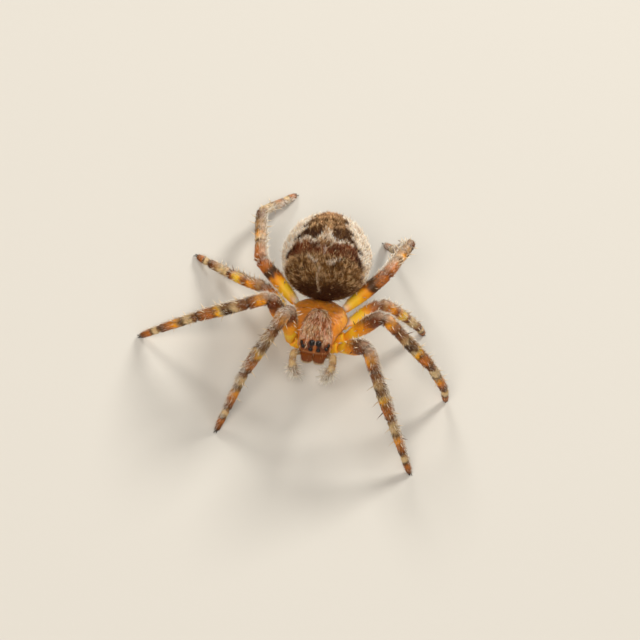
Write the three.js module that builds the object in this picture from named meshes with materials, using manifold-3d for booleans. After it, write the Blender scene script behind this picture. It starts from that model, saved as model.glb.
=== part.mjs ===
// An orb weaver spider at life size, standing on the floor on its eight feet.
// Millimetres, +Z up. The spider faces -Y, so its left side is +X.
// Each solid reaches out to the tips of its hairs.

import * as THREE from 'three';
import { mergeVertices } from 'three/addons/utils/BufferGeometryUtils.js';
import Module from 'manifold-3d';

// ---------------------------------------------------------------- dimensions

// Where the middle of the carapace stands over the floor, and how it leans.
const BODY_HEIGHT = 2.34;
const BODY_PITCH = 5;
const BODY_ROLL = -9;

// Moves the spider so that the middle of its outline is over the origin.
const CENTRE_SHIFT = new THREE.Vector3(0.467, -1.464, 0);

// Carapace stations from the face to the rear: [y, half width, top, bottom].
const CARAPACE_STATIONS = [
  [-1.78, 0.56, 0.2, 0.1],
  [-1.7, 0.76, 0.42, 0.08],
  [-1.5, 0.86, 0.7, 0.06],
  [-1.1, 0.95, 0.88, 0.02],
  [-0.6, 1.12, 0.95, -0.04],
  [0, 1.46, 0.9, -0.08],
  [0.6, 1.56, 0.78, -0.1],
  [1.15, 1.28, 0.48, -0.12],
  [1.5, 0.84, 0.14, -0.16],
  [1.68, 0.46, -0.04, -0.2],
];
const CARAPACE_RINGS = 17;
const CARAPACE_SIDES = 20;
// How far up the carapace's side its rim lies, as a share of its thickness.
const RIM_SHARE = 0.16;
const CARAPACE_FULLNESS = 0.85;
// Catmull-Rom tension of the carapace's outlines, in which slopes are half of the
// step across each station.
const SPLINE_TENSION = 0.5;
// The step along and round the carapace that gives its slope at a place.
const SLOPE_STEP = 0.02;
// Halvings that find the place along the carapace with a given y.
const SEARCH_STEPS = 30;

// Eyes by their place on the carapace: [name, x, y, radius].
const EYES = [
  ['posterior_median', 0.175, -1.44, 0.14],
  ['anterior_median', 0.21, -1.675, 0.11],
  ['posterior_lateral', 0.72, -1.39, 0.095],
  ['anterior_lateral', 0.62, -1.57, 0.095],
];
// How much of an eye's radius lies sunk under the carapace.
const EYE_SUNK = 0.25;
// An eye's flat back is a tangent plane. It lies above the carapace by a gap, and
// by this share of its radius squared, because the carapace is curved.
const EYE_GAP = 0.012;
const EYE_RISE = 0.35;
const EYE_ROWS = 4;
const EYE_SIDES = 9;

// The sternum runs between two turns of an oval, in half turns, and narrows towards
// its rear to a share of its width. A low fullness makes it squarer.
const STERNUM = {
  front: -1.15,
  rear: 1.35,
  halfWidth: 0.5,
  top: -0.16,
  bottom: -0.92,
  firstTurn: 0.12,
  lastTurn: 0.94,
  fullness: 0.6,
  rearWidth: 0.62,
  rings: 8,
  sides: 14,
};
const SHARED_GAP = 0.03;

// The abdomen hangs a little towards the right.
const ABDOMEN_CENTRE = new THREE.Vector3(-0.04, 3.52, 1.32);
const ABDOMEN_HALF = new THREE.Vector3(2.38, 2.45, 2.02);
// The abdomen is a little broader towards its front.
const ABDOMEN_SHOULDER = 0.05;
// The first and the last ring lie this turn from the poles, in radians.
const ABDOMEN_TIP = 0.08;
const ABDOMEN_RINGS = 16;
const ABDOMEN_SIDES = 24;

const PEDICEL = { start: [0, 1.3, -0.42], end: [0, 2.4, -0.02], radius: 0.27, sides: 10 };

// The spinnerets stand under the rear of the abdomen, turned back in degrees. Each
// cone narrows to coneTip of its radius at coneShoulder of its length, and the
// cones lean together in radians.
const SPINNERETS = {
  backTurn: 38,
  spread: 0.19,
  coneFoot: -0.12,
  coneLength: 0.34,
  coneRadius: 0.15,
  coneTip: 0.55,
  coneShoulder: 0.85,
  coneLean: 0.25,
  coneSides: 8,
  baseDepth: 0.34,
  baseRadius: 0.42,
  baseTaper: 0.8,
  baseTop: 0.05,
  baseCrown: 0.08,
  baseSides: 12,
};

// Stations of a jaw from the face down: its middle, then half width and half depth.
const CHELICERA = [
  { at: [0.375, -1.44, -0.06], half: [0.345, 0.2] },
  { at: [0.37, -1.55, -0.24], half: [0.34, 0.25] },
  { at: [0.345, -1.62, -0.48], half: [0.31, 0.25] },
  { at: [0.335, -1.67, -0.72], half: [0.27, 0.21] },
  { at: [0.345, -1.69, -0.88], half: [0.18, 0.13] },
];
const CHELICERA_SIDES = 12;

// Palp joints on the left side, from its root to its tip.
const PALP_JOINTS = [
  [0.58, -1.37, -0.74],
  [0.95, -1.52, -0.48],
  [1.06, -1.86, 0.02],
  [1.08, -2.26, 0.02],
  [1.0, -2.5, -0.32],
  [0.74, -2.7, -0.86],
];
const PALP_RADII = [0.13, 0.2, 0.25, 0.25, 0.26, 0.2];
const PALP_ROWS = 10;
const PALP_SIDES = 10;

// Leg segments from the body outwards.
const SEGMENTS = ['coxa', 'femur', 'patella', 'tibia', 'metatarsus', 'tarsus'];
// Segments that are as thick on every pair of legs.
const EVEN_SEGMENTS = ['coxa', 'metatarsus', 'tarsus'];

// Radius at each segment's start and end, and how much its middle swells.
const GIRTHS = {
  coxa: { start: 0.27, end: 0.27, belly: 0.05 },
  femur: { start: 0.27, end: 0.37, belly: 0.13 },
  patella: { start: 0.37, end: 0.35, belly: 0.03 },
  tibia: { start: 0.34, end: 0.31, belly: 0.05 },
  metatarsus: { start: 0.29, end: 0.26, belly: 0.01 },
  tarsus: { start: 0.26, end: 0.2, belly: 0.04 },
};
// Straight stations in each segment between its two bends.
const STRAIGHT_STATIONS = 3;
const BEND_STATIONS = 2;
const LEG_SIDES = 10;
const BEND_RADIUS = 0.5;
// The least length of a bend on each side of its corner, and the largest share
// of a segment that one bend takes up.
const LEAST_REACH = 0.18;
const BEND_SHARE = 0.5;
const JOINT_GAP = 0.05;
// How far the tip of a foot is cut off flat by the floor.
const FOOT_FLAT = 0.06;

// The four pairs of legs: segment lengths from the femur on, the coxa's root
// and the hip on the left side of the body, and the girth against leg 1.
const LEG_PAIRS = [
  {
    lengths: [3.5, 1.45, 2.8, 2.25, 1.25],
    root: [0.62, -0.98, -0.55],
    hip: [1.35, -1.0, -0.34],
    girth: 1,
  },
  {
    lengths: [3.35, 1.35, 2.9, 2.25, 1.2],
    root: [0.68, -0.34, -0.58],
    hip: [1.62, -0.3, -0.36],
    girth: 0.98,
  },
  {
    lengths: [2.05, 0.95, 1.65, 1.4, 0.85],
    root: [0.66, 0.32, -0.58],
    hip: [1.62, 0.52, -0.36],
    girth: 0.9,
  },
  {
    lengths: [3.1, 1.4, 2.45, 2.2, 1.1],
    root: [0.5, 0.98, -0.56],
    hip: [1.28, 1.3, -0.36],
    girth: 0.96,
  },
];

// Joint angles in degrees. A swing turns a segment towards the front and a
// lift raises it. The swings are those of the femur, of the patella with the
// tibia, and of the metatarsus with the tarsus. The lifts run from the femur
// to the metatarsus, and the tarsus takes the lift that brings it to the floor.
const POSES = {
  right: [
    { swings: [0, 63, 74], lifts: [76, -44, -37, -45] },
    { swings: [3, 12, 13], lifts: [62, -36, -33, -39] },
    { swings: [-34, -35, -33], lifts: [15, -39, -29, -22] },
    { swings: [-41, -87, -130], lifts: [6, -18, -12, -23] },
  ],
  left: [
    { swings: [57, 49, 39], lifts: [61, -40, -36, -46] },
    { swings: [3, 17, 5], lifts: [68, -34, -33, -55] },
    { swings: [-34, -15, -15], lifts: [34, -30, -45, -47] },
    { swings: [-43, -66, -124], lifts: [39, -18, -24, -70] },
  ],
};
const SIDES = { right: -1, left: 1 };

// ---------------------------------------------------------------- materials

const FINISHES = {
  carapace: { color: 0xc9762e, roughness: 0.35 },
  underside: { color: 0x8a5526, roughness: 0.5 },
  abdomen: { color: 0x9b7f66, roughness: 0.85 },
  jaw: { color: 0x9a4a1c, roughness: 0.3 },
  eye: { color: 0x0b0908, roughness: 0.05 },
  palp: { color: 0xc9a878, roughness: 0.6 },
  femur: { color: 0xd88a1c, roughness: 0.45 },
  shank: { color: 0x9a6a3c, roughness: 0.55 },
};

function finish(name) {
  const { color, roughness } = FINISHES[name];
  return new THREE.MeshStandardMaterial({ color, roughness, metalness: 0 });
}

// ---------------------------------------------------------------- geometry

const wasm = await Module();
wasm.setup();

function vector(list) {
  return new THREE.Vector3(...list);
}

function mix(from, to, share) {
  return from + (to - from) * share;
}

// Six times the volume that a mesh encloses, negative if it is inside out.
function signedVolume(points, triangles) {
  let total = 0;
  for (const [a, b, c] of triangles) {
    total += points[a].dot(points[b].clone().cross(points[c]));
  }
  return total;
}

function geometryFrom(points, triangles) {
  const outwards = signedVolume(points, triangles) > 0;
  const geometry = new THREE.BufferGeometry();
  geometry.setAttribute('position', new THREE.Float32BufferAttribute(points.flatMap((p) => p.toArray()), 3));
  geometry.setIndex(triangles.flatMap(([a, b, c]) => (outwards ? [a, b, c] : [a, c, b])));
  geometry.computeVertexNormals();
  return geometry;
}

// A closed solid through rings of points, with a fan over each end.
function loft(rings) {
  const sides = rings[0].length;
  const points = rings.flat();
  const triangles = [];
  for (let row = 0; row + 1 < rings.length; row += 1) {
    for (let k = 0; k < sides; k += 1) {
      const here = row * sides + k;
      const beside = row * sides + ((k + 1) % sides);
      triangles.push([here, beside, beside + sides]);
      triangles.push([here, beside + sides, here + sides]);
    }
  }
  for (const [row, flip] of [[0, true], [rings.length - 1, false]]) {
    const centre = new THREE.Vector3();
    rings[row].forEach((p) => centre.addScaledVector(p, 1 / sides));
    const hub = points.push(centre) - 1;
    for (let k = 0; k < sides; k += 1) {
      const here = row * sides + k;
      const beside = row * sides + ((k + 1) % sides);
      triangles.push(flip ? [hub, beside, here] : [hub, here, beside]);
    }
  }
  return geometryFrom(points, triangles);
}

function toManifold(geometry) {
  const bare = geometry.clone();
  bare.deleteAttribute('normal');
  bare.deleteAttribute('uv');
  const merged = mergeVertices(bare);
  return new wasm.Manifold(new wasm.Mesh({
    numProp: 3,
    vertProperties: new Float32Array(merged.attributes.position.array),
    triVerts: new Uint32Array(merged.index.array),
  }));
}

function fromManifold(solid) {
  const mesh = solid.getMesh();
  const geometry = new THREE.BufferGeometry();
  geometry.setAttribute('position', new THREE.BufferAttribute(mesh.vertProperties, 3));
  geometry.setIndex(new THREE.BufferAttribute(mesh.triVerts, 1));
  geometry.computeVertexNormals();
  return geometry;
}

// A piece of geometry grown about its own middle, to leave a gap around it.
function grown(geometry, gap) {
  const copy = geometry.clone();
  copy.computeBoundingBox();
  const centre = copy.boundingBox.getCenter(new THREE.Vector3());
  const size = copy.boundingBox.getSize(new THREE.Vector3());
  copy.translate(-centre.x, -centre.y, -centre.z);
  copy.scale(1 + (2 * gap) / size.x, 1 + (2 * gap) / size.y, 1 + (2 * gap) / size.z);
  copy.translate(centre.x, centre.y, centre.z);
  return copy;
}

// ---------------------------------------------------------------- carapace

const carapaceSpline = new THREE.CatmullRomCurve3(
  CARAPACE_STATIONS.map(([y, halfWidth, top]) => new THREE.Vector3(halfWidth, y, top)),
  false, 'catmullrom', SPLINE_TENSION,
);
const undersideSpline = new THREE.CatmullRomCurve3(
  CARAPACE_STATIONS.map(([y, , , bottom]) => new THREE.Vector3(0, y, bottom)),
  false, 'catmullrom', SPLINE_TENSION,
);

// A point of the carapace: along it from face to rear, and round it by an
// angle that is 0 at the left rim and a quarter turn at the top.
function carapacePoint(along, angle) {
  const station = carapaceSpline.getPoint(along);
  const bottom = undersideSpline.getPoint(along).z;
  const rim = mix(bottom, station.z, RIM_SHARE);
  const sine = Math.sin(angle);
  const height = sine > 0
    ? (station.z - rim) * sine ** CARAPACE_FULLNESS
    : (rim - bottom) * sine;
  return new THREE.Vector3(station.x * Math.cos(angle), station.y, rim + height);
}

function carapaceGeometry() {
  const rings = [];
  for (let row = 0; row < CARAPACE_RINGS; row += 1) {
    const ring = [];
    for (let k = 0; k < CARAPACE_SIDES; k += 1) {
      ring.push(carapacePoint(row / (CARAPACE_RINGS - 1), (2 * Math.PI * k) / CARAPACE_SIDES));
    }
    rings.push(ring);
  }
  return loft(rings);
}

// The share along the carapace at which it passes a given y.
function alongAt(y) {
  let low = 0;
  let high = 1;
  for (let step = 0; step < SEARCH_STEPS; step += 1) {
    const middle = (low + high) / 2;
    if (carapaceSpline.getPoint(middle).y < y) {
      low = middle;
    } else {
      high = middle;
    }
  }
  return low;
}

// A domed eye whose flat back lies just off the carapace's surface.
function eyeMesh(name, side, x, y, radius) {
  const along = alongAt(y);
  const halfWidth = carapaceSpline.getPoint(along).x;
  const angle = Math.acos((side * x) / halfWidth);
  const place = carapacePoint(along, angle);
  const ahead = carapacePoint(along - SLOPE_STEP, angle);
  const lengthwise = carapacePoint(along + SLOPE_STEP, angle).sub(ahead);
  const beside = carapacePoint(along, angle - SLOPE_STEP);
  const sideways = carapacePoint(along, angle + SLOPE_STEP).sub(beside);
  const normal = lengthwise.cross(sideways).normalize();
  if (normal.z < 0) {
    normal.negate();
  }
  const arc = [];
  const lowest = Math.asin(EYE_SUNK);
  for (let row = 0; row <= EYE_ROWS; row += 1) {
    const rise = mix(lowest, Math.PI / 2, row / EYE_ROWS);
    const share = row === EYE_ROWS ? 0 : Math.cos(rise);
    arc.push(new THREE.Vector2(radius * share, radius * (Math.sin(rise) - EYE_SUNK)));
  }
  const profile = [new THREE.Vector2(0, 0), ...arc];
  const geometry = new THREE.LatheGeometry(profile, EYE_SIDES);
  const mesh = new THREE.Mesh(geometry, finish('eye'));
  mesh.name = name;
  mesh.position.copy(place).addScaledVector(normal, EYE_GAP + radius * radius * EYE_RISE);
  mesh.quaternion.setFromUnitVectors(new THREE.Vector3(0, 1, 0), normal);
  return mesh;
}

// ---------------------------------------------------------------- body

// The underside between the coxae: a shield that narrows towards the rear.
function sternumGeometry() {
  const rings = [];
  const middle = (STERNUM.top + STERNUM.bottom) / 2;
  const halfDepth = (STERNUM.top - STERNUM.bottom) / 2;
  for (let row = 0; row <= STERNUM.rings; row += 1) {
    const share = row / STERNUM.rings;
    const turn = mix(STERNUM.firstTurn, STERNUM.lastTurn, share) * Math.PI;
    const y = mix(STERNUM.front, STERNUM.rear, (1 - Math.cos(turn)) / 2);
    const full = Math.sin(turn) ** STERNUM.fullness;
    const halfWidth = STERNUM.halfWidth * full * mix(1, STERNUM.rearWidth, share);
    const ring = [];
    for (let k = 0; k < STERNUM.sides; k += 1) {
      const angle = (2 * Math.PI * k) / STERNUM.sides;
      ring.push(new THREE.Vector3(
        halfWidth * Math.cos(angle),
        y,
        middle + halfDepth * full * Math.sin(angle),
      ));
    }
    rings.push(ring);
  }
  return loft(rings);
}

// The abdomen as rings from its front to its rear, round the Y axis.
function abdomenGeometry() {
  const rings = [];
  for (let row = 0; row < ABDOMEN_RINGS; row += 1) {
    const turn = mix(ABDOMEN_TIP, Math.PI - ABDOMEN_TIP, row / (ABDOMEN_RINGS - 1));
    const widen = 1 + ABDOMEN_SHOULDER * Math.cos(turn);
    const ring = [];
    for (let k = 0; k < ABDOMEN_SIDES; k += 1) {
      const angle = (2 * Math.PI * k) / ABDOMEN_SIDES;
      ring.push(new THREE.Vector3(
        ABDOMEN_HALF.x * widen * Math.sin(turn) * Math.cos(angle),
        -ABDOMEN_HALF.y * Math.cos(turn),
        ABDOMEN_HALF.z * Math.sin(turn) * Math.sin(angle),
      ).add(ABDOMEN_CENTRE));
    }
    rings.push(ring);
  }
  return loft(rings);
}

// A round limb through stations of a point, a direction and a radius. The
// sideways direction is carried along the limb so that it doesn't twist.
function limbRings(stations, sides, firstSideways) {
  let sideways = firstSideways.clone();
  return stations.map(({ point, tangent, radius }) => {
    sideways.addScaledVector(tangent, -sideways.dot(tangent)).normalize();
    sideways = sideways.clone();
    const upwards = tangent.clone().cross(sideways);
    const ring = [];
    for (let k = 0; k < sides; k += 1) {
      const angle = (2 * Math.PI * k) / sides;
      ring.push(point.clone()
        .addScaledVector(sideways, radius * Math.cos(angle))
        .addScaledVector(upwards, radius * Math.sin(angle)));
    }
    return ring;
  });
}

// The waist: a short rod, cut clear of what it joins.
function pedicelGeometry(neighbours) {
  const start = vector(PEDICEL.start);
  const end = vector(PEDICEL.end);
  const tangent = end.clone().sub(start).normalize();
  const stations = [start, end].map((point) => ({ point, tangent, radius: PEDICEL.radius }));
  const rod = toManifold(loft(limbRings(stations, PEDICEL.sides, new THREE.Vector3(1, 0, 0))));
  const clear = neighbours.reduce((solid, next) => solid.subtract(toManifold(grown(next, SHARED_GAP))), rod);
  return fromManifold(clear);
}

// Four cones round a shallow base, cut to the abdomen's curve.
function spinneretGeometry(abdomen) {
  const {
    backTurn, spread, coneFoot, coneLength, coneRadius, coneTip, coneShoulder, coneLean, coneSides,
    baseDepth, baseRadius, baseTaper, baseTop, baseCrown, baseSides,
  } = SPINNERETS;
  const base = new THREE.LatheGeometry([
    new THREE.Vector2(0, -baseDepth),
    new THREE.Vector2(baseRadius, -baseDepth),
    new THREE.Vector2(baseRadius * baseTaper, baseTop),
    new THREE.Vector2(0, baseCrown),
  ], baseSides);
  let cluster = toManifold(base);
  for (const x of [-1, 1]) {
    for (const y of [-1, 1]) {
      const cone = new THREE.LatheGeometry([
        new THREE.Vector2(0, coneFoot),
        new THREE.Vector2(coneRadius, coneFoot),
        new THREE.Vector2(coneRadius * coneTip, coneLength * coneShoulder),
        new THREE.Vector2(0, coneLength),
      ], coneSides);
      cone.rotateZ(-coneLean * x);
      cone.rotateX(coneLean * y);
      cone.translate(x * spread, 0, y * spread);
      cluster = cluster.add(toManifold(cone));
    }
  }
  const geometry = fromManifold(cluster);
  const turn = THREE.MathUtils.degToRad(backTurn);
  const outwards = new THREE.Vector3(0, Math.sin(turn), -Math.cos(turn));
  const upright = new THREE.Vector3(0, 1, 0);
  geometry.applyQuaternion(new THREE.Quaternion().setFromUnitVectors(upright, outwards));
  const place = outwards.clone().multiply(ABDOMEN_HALF).add(ABDOMEN_CENTRE);
  geometry.translate(place.x, place.y, place.z);
  return fromManifold(toManifold(geometry).subtract(toManifold(grown(abdomen, SHARED_GAP))));
}

// A jaw as flat ovals from the face down.
function cheliceraGeometry(side) {
  return loft(CHELICERA.map(({ at: [x, y, z], half }) => {
    const ring = [];
    for (let k = 0; k < CHELICERA_SIDES; k += 1) {
      const angle = (2 * Math.PI * k) / CHELICERA_SIDES;
      ring.push(new THREE.Vector3(
        side * (x + half[0] * Math.cos(angle)),
        y + half[1] * Math.sin(angle),
        z,
      ));
    }
    return ring;
  }));
}

// The palp follows a smooth curve through its joints.
function palpGeometry(side) {
  const joints = PALP_JOINTS.map(([x, y, z]) => new THREE.Vector3(side * x, y, z));
  const curve = new THREE.CatmullRomCurve3(joints, false, 'centripetal');
  const last = PALP_RADII.length - 1;
  const stations = [];
  for (let row = 0; row <= PALP_ROWS; row += 1) {
    const share = row / PALP_ROWS;
    const scaled = share * last;
    const index = Math.min(Math.floor(scaled), last - 1);
    stations.push({
      point: curve.getPoint(share),
      tangent: curve.getTangent(share),
      radius: mix(PALP_RADII[index], PALP_RADII[index + 1], scaled - index),
    });
  }
  return loft(limbRings(stations, PALP_SIDES, new THREE.Vector3(1, 0, 0)));
}

// ---------------------------------------------------------------- legs

// The unit vector of a leg segment with a swing and a lift in degrees.
function direction(swing, lift, side) {
  const forward = THREE.MathUtils.degToRad(swing);
  const upward = THREE.MathUtils.degToRad(lift);
  const level = Math.cos(upward);
  return new THREE.Vector3(side * Math.cos(forward) * level, -Math.sin(forward) * level, Math.sin(upward));
}

// The joints of one leg from the coxa's root to the tip of the foot.
function legJoints(pair, pose, side, toWorld) {
  const mirrored = ([x, y, z]) => new THREE.Vector3(side * x, y, z).applyMatrix4(toWorld);
  const joints = [mirrored(pair.root), mirrored(pair.hip)];
  const swings = [pose.swings[0], pose.swings[1], pose.swings[1], pose.swings[2]];
  pose.lifts.forEach((lift, k) => {
    joints.push(joints.at(-1).clone().addScaledVector(direction(swings[k], lift, side), pair.lengths[k]));
  });
  // The foot's end disc, of radius r, dips FOOT_FLAT under the floor when
  // length * sin(lift) - r * cos(lift) = -(height + FOOT_FLAT).
  const length = pair.lengths[4];
  const radius = GIRTHS.tarsus.end;
  const drop = joints.at(-1).z + FOOT_FLAT;
  const lift = Math.atan2(radius, length) - Math.asin(drop / Math.hypot(length, radius));
  const tarsus = direction(pose.swings[2], THREE.MathUtils.radToDeg(lift), side);
  joints.push(joints.at(-1).clone().addScaledVector(tarsus, length));
  return joints;
}

// A round bend that takes the place of the corner between two segments.
function bendAt(before, corner, after) {
  const incoming = corner.clone().sub(before).normalize();
  const outgoing = after.clone().sub(corner).normalize();
  const angle = incoming.angleTo(outgoing);
  const reach = Math.min(
    Math.max(BEND_RADIUS * Math.tan(angle / 2), LEAST_REACH),
    BEND_SHARE * corner.distanceTo(before),
    BEND_SHARE * corner.distanceTo(after),
  );
  const radius = reach / Math.tan(angle / 2);
  const inward = outgoing.clone().addScaledVector(incoming, -outgoing.dot(incoming)).normalize();
  const start = corner.clone().addScaledVector(incoming, -reach);
  return (share) => {
    const sine = Math.sin(angle * share);
    const cosine = Math.cos(angle * share);
    return {
      point: start.clone()
        .addScaledVector(inward, radius * (1 - cosine))
        .addScaledVector(incoming, radius * sine),
      tangent: incoming.clone().multiplyScalar(cosine).addScaledVector(inward, sine),
    };
  };
}

// Stations of each segment, from the middle of one bend to that of the next.
function segmentStations(joints) {
  const bends = joints.map((corner, k) => {
    if (k === 0 || k === joints.length - 1) {
      return null;
    }
    return bendAt(joints[k - 1], corner, joints[k + 1]);
  });
  return SEGMENTS.map((name, k) => {
    const tangent = joints[k + 1].clone().sub(joints[k]).normalize();
    const stations = [];
    if (bends[k]) {
      for (let step = 0; step < BEND_STATIONS; step += 1) {
        stations.push(bends[k](mix(0.5, 1, step / BEND_STATIONS)));
      }
    }
    const from = bends[k] ? bends[k](1).point : joints[k];
    const to = bends[k + 1] ? bends[k + 1](0).point : joints[k + 1];
    for (let step = 0; step < STRAIGHT_STATIONS; step += 1) {
      stations.push({ point: from.clone().lerp(to, step / (STRAIGHT_STATIONS - 1)), tangent });
    }
    if (bends[k + 1]) {
      for (let step = 1; step <= BEND_STATIONS; step += 1) {
        stations.push(bends[k + 1](mix(0, 0.5, step / BEND_STATIONS)));
      }
    }
    return stations;
  });
}

// Gives each station its radius from the distance travelled along the segment.
function addRadii(stations, girth, scale) {
  const travelled = [0];
  for (let k = 1; k < stations.length; k += 1) {
    travelled.push(travelled[k - 1] + stations[k].point.distanceTo(stations[k - 1].point));
  }
  return stations.map((station, k) => {
    const share = travelled[k] / travelled.at(-1);
    const radius = mix(girth.start, girth.end, share) + girth.belly * Math.sin(Math.PI * share);
    return { ...station, radius: radius * scale };
  });
}

// Draws the two end stations in by half of the gap between segments.
function drawIn(stations) {
  const first = stations[0];
  const last = stations.at(-1);
  first.point = first.point.clone().addScaledVector(first.tangent, JOINT_GAP / 2);
  last.point = last.point.clone().addScaledVector(last.tangent, -JOINT_GAP / 2);
  return stations;
}

// The five meshes of one leg.
function legMeshes(number, sideName, toWorld) {
  const pair = LEG_PAIRS[number - 1];
  const side = SIDES[sideName];
  const joints = legJoints(pair, POSES[sideName][number - 1], side, toWorld);
  const lists = segmentStations(joints).map((stations, k) => {
    const name = SEGMENTS[k];
    return addRadii(stations, GIRTHS[name], EVEN_SEGMENTS.includes(name) ? 1 : pair.girth);
  });
  // The coxa and its femur are one solid, joined where the bend is sharp.
  const [coxa, femur, ...rest] = lists;
  const solids = [['femur', [...coxa, ...femur.slice(1)]]];
  rest.forEach((list, k) => solids.push([SEGMENTS[k + 2], list]));
  return solids.map(([name, stations]) => {
    const rings = limbRings(drawIn(stations), LEG_SIDES, new THREE.Vector3(0, 1, 0));
    if (name === 'tarsus') {
      rings.flat().forEach((point) => {
        point.z = Math.max(point.z, 0);
      });
    }
    const mesh = new THREE.Mesh(loft(rings), finish(name === 'femur' ? 'femur' : 'shank'));
    mesh.name = `leg_${number}_${sideName}_${name}`;
    return mesh;
  });
}

// ---------------------------------------------------------------- the spider

const spider = new THREE.Group();
spider.position.copy(CENTRE_SHIFT);

const body = new THREE.Group();
body.position.z = BODY_HEIGHT;
body.rotation.set(THREE.MathUtils.degToRad(BODY_PITCH), THREE.MathUtils.degToRad(BODY_ROLL), 0, 'XYZ');
body.updateMatrix();
spider.add(body);

function addBodyPart(name, geometry, finishName) {
  const mesh = new THREE.Mesh(geometry, finish(finishName));
  mesh.name = name;
  body.add(mesh);
}

const carapace = carapaceGeometry();
const sternum = sternumGeometry();
const abdomen = abdomenGeometry();
addBodyPart('carapace', carapace, 'carapace');
addBodyPart('sternum', sternum, 'underside');
addBodyPart('pedicel', pedicelGeometry([carapace, sternum, abdomen]), 'underside');
addBodyPart('abdomen', abdomen, 'abdomen');
addBodyPart('spinnerets', spinneretGeometry(abdomen), 'underside');

for (const [sideName, side] of Object.entries(SIDES)) {
  addBodyPart(`chelicera_${sideName}`, cheliceraGeometry(side), 'jaw');
  addBodyPart(`palp_${sideName}`, palpGeometry(side), 'palp');
  for (const [name, x, y, radius] of EYES) {
    body.add(eyeMesh(`eye_${name}_${sideName}`, side, x, y, radius));
  }
  for (let number = 1; number <= LEG_PAIRS.length; number += 1) {
    spider.add(...legMeshes(number, sideName, body.matrix));
  }
}

export default spider;
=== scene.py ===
"""The looks of a small orb weaver spider at life size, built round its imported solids.

Shapes are worked out in millimetres in two frames that both face -Y. The body
frame has its origin in the middle of the carapace and leans with the body. In the
standing frame the floor is z = 0. to_row turns standing millimetres into the
row's metres.
"""
from collections import namedtuple

import bpy
import numpy as np
from bpy.props import FloatProperty, FloatVectorProperty, IntProperty, PointerProperty
from bpy.types import Operator, Panel, PropertyGroup
from mathutils import Matrix


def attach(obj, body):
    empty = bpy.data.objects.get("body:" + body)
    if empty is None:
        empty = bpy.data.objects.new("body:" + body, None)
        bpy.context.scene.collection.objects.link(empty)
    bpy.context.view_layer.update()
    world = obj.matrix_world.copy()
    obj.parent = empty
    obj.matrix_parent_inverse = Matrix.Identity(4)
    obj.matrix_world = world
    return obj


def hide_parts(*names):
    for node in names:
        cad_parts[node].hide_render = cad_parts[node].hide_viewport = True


bl_info = {
    "name": "Orb Weaver Spider",
    "version": (1, 0, 0),
    "blender": (4, 5, 0),
    "location": "3D View > Sidebar > Orb Weaver",
    "description": "Builds a life-size orb weaver spider round its packed solids",
    "category": "Add Mesh",
}

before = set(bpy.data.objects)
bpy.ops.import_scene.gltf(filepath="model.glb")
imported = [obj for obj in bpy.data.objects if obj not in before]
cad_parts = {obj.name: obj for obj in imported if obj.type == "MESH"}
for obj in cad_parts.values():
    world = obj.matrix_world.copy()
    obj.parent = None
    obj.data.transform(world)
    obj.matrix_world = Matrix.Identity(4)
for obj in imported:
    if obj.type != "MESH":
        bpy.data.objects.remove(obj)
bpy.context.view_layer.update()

# ------------------------------------------------------------------ measures
# Millimetres and degrees, the same as in the solids.

MM = 0.001
BODY_HEIGHT = 2.34
BODY_PITCH = 5
BODY_ROLL = -9
CENTRE_SHIFT = np.array([0.467, -1.464, 0.0])
SIDES = {"right": -1, "left": 1}

# How far the skin lies under the solids' surface, which the hair tips reach.
COAT_DEPTH = 0.05
# How far a hair's root is sunk in the skin.
ROOT_DEPTH = 0.012

# Carapace stations from the face to the rear: y, half width, top, bottom.
CARAPACE_STATIONS = np.array([
    [-1.78, 0.56, 0.2, 0.1],
    [-1.7, 0.76, 0.42, 0.08],
    [-1.5, 0.86, 0.7, 0.06],
    [-1.1, 0.95, 0.88, 0.02],
    [-0.6, 1.12, 0.95, -0.04],
    [0, 1.46, 0.9, -0.08],
    [0.6, 1.56, 0.78, -0.1],
    [1.15, 1.28, 0.48, -0.12],
    [1.5, 0.84, 0.14, -0.16],
    [1.68, 0.46, -0.04, -0.2],
])
RIM_SHARE = 0.16
CARAPACE_FULLNESS = 0.85
FOVEA = np.array([0, 0.68])

# Eyes on the left side by their place on the carapace: x, y, radius.
EYES = {
    "posterior_median": (0.175, -1.44, 0.14),
    "anterior_median": (0.21, -1.675, 0.11),
    "posterior_lateral": (0.72, -1.39, 0.095),
    "anterior_lateral": (0.62, -1.57, 0.095),
}

ABDOMEN_CENTRE = np.array([-0.04, 3.52, 1.32])
ABDOMEN_HALF = np.array([2.38, 2.45, 2.02])
ABDOMEN_SHOULDER = 0.05
# The abdomen hangs a little twisted on its waist, most of all in front: degrees.
ABDOMEN_TWIST = -5
FRONT_TWIST = -12

SPINNERET_TURN = 38
SPINNERET_LENGTH = 0.34

# The jaws' stations: x, y, z, half width, half depth.
JAW_STATIONS = np.array([
    [0.385, -1.44, 0.02, 0.375, 0.2],
    [0.375, -1.54, -0.2, 0.37, 0.25],
    [0.345, -1.61, -0.46, 0.34, 0.25],
    [0.32, -1.67, -0.72, 0.315, 0.22],
    [0.33, -1.69, -0.88, 0.25, 0.15],
])

# Palp joints on the left side, with the skin's radius at each.
PALP_STATIONS = np.array([
    [0.58, -1.37, -0.74, 0.13],
    [0.95, -1.52, -0.48, 0.165],
    [1.06, -1.86, 0.02, 0.19],
    [1.08, -2.26, 0.02, 0.185],
    [1.0, -2.5, -0.32, 0.2],
    [0.74, -2.7, -0.86, 0.16],
])

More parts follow.
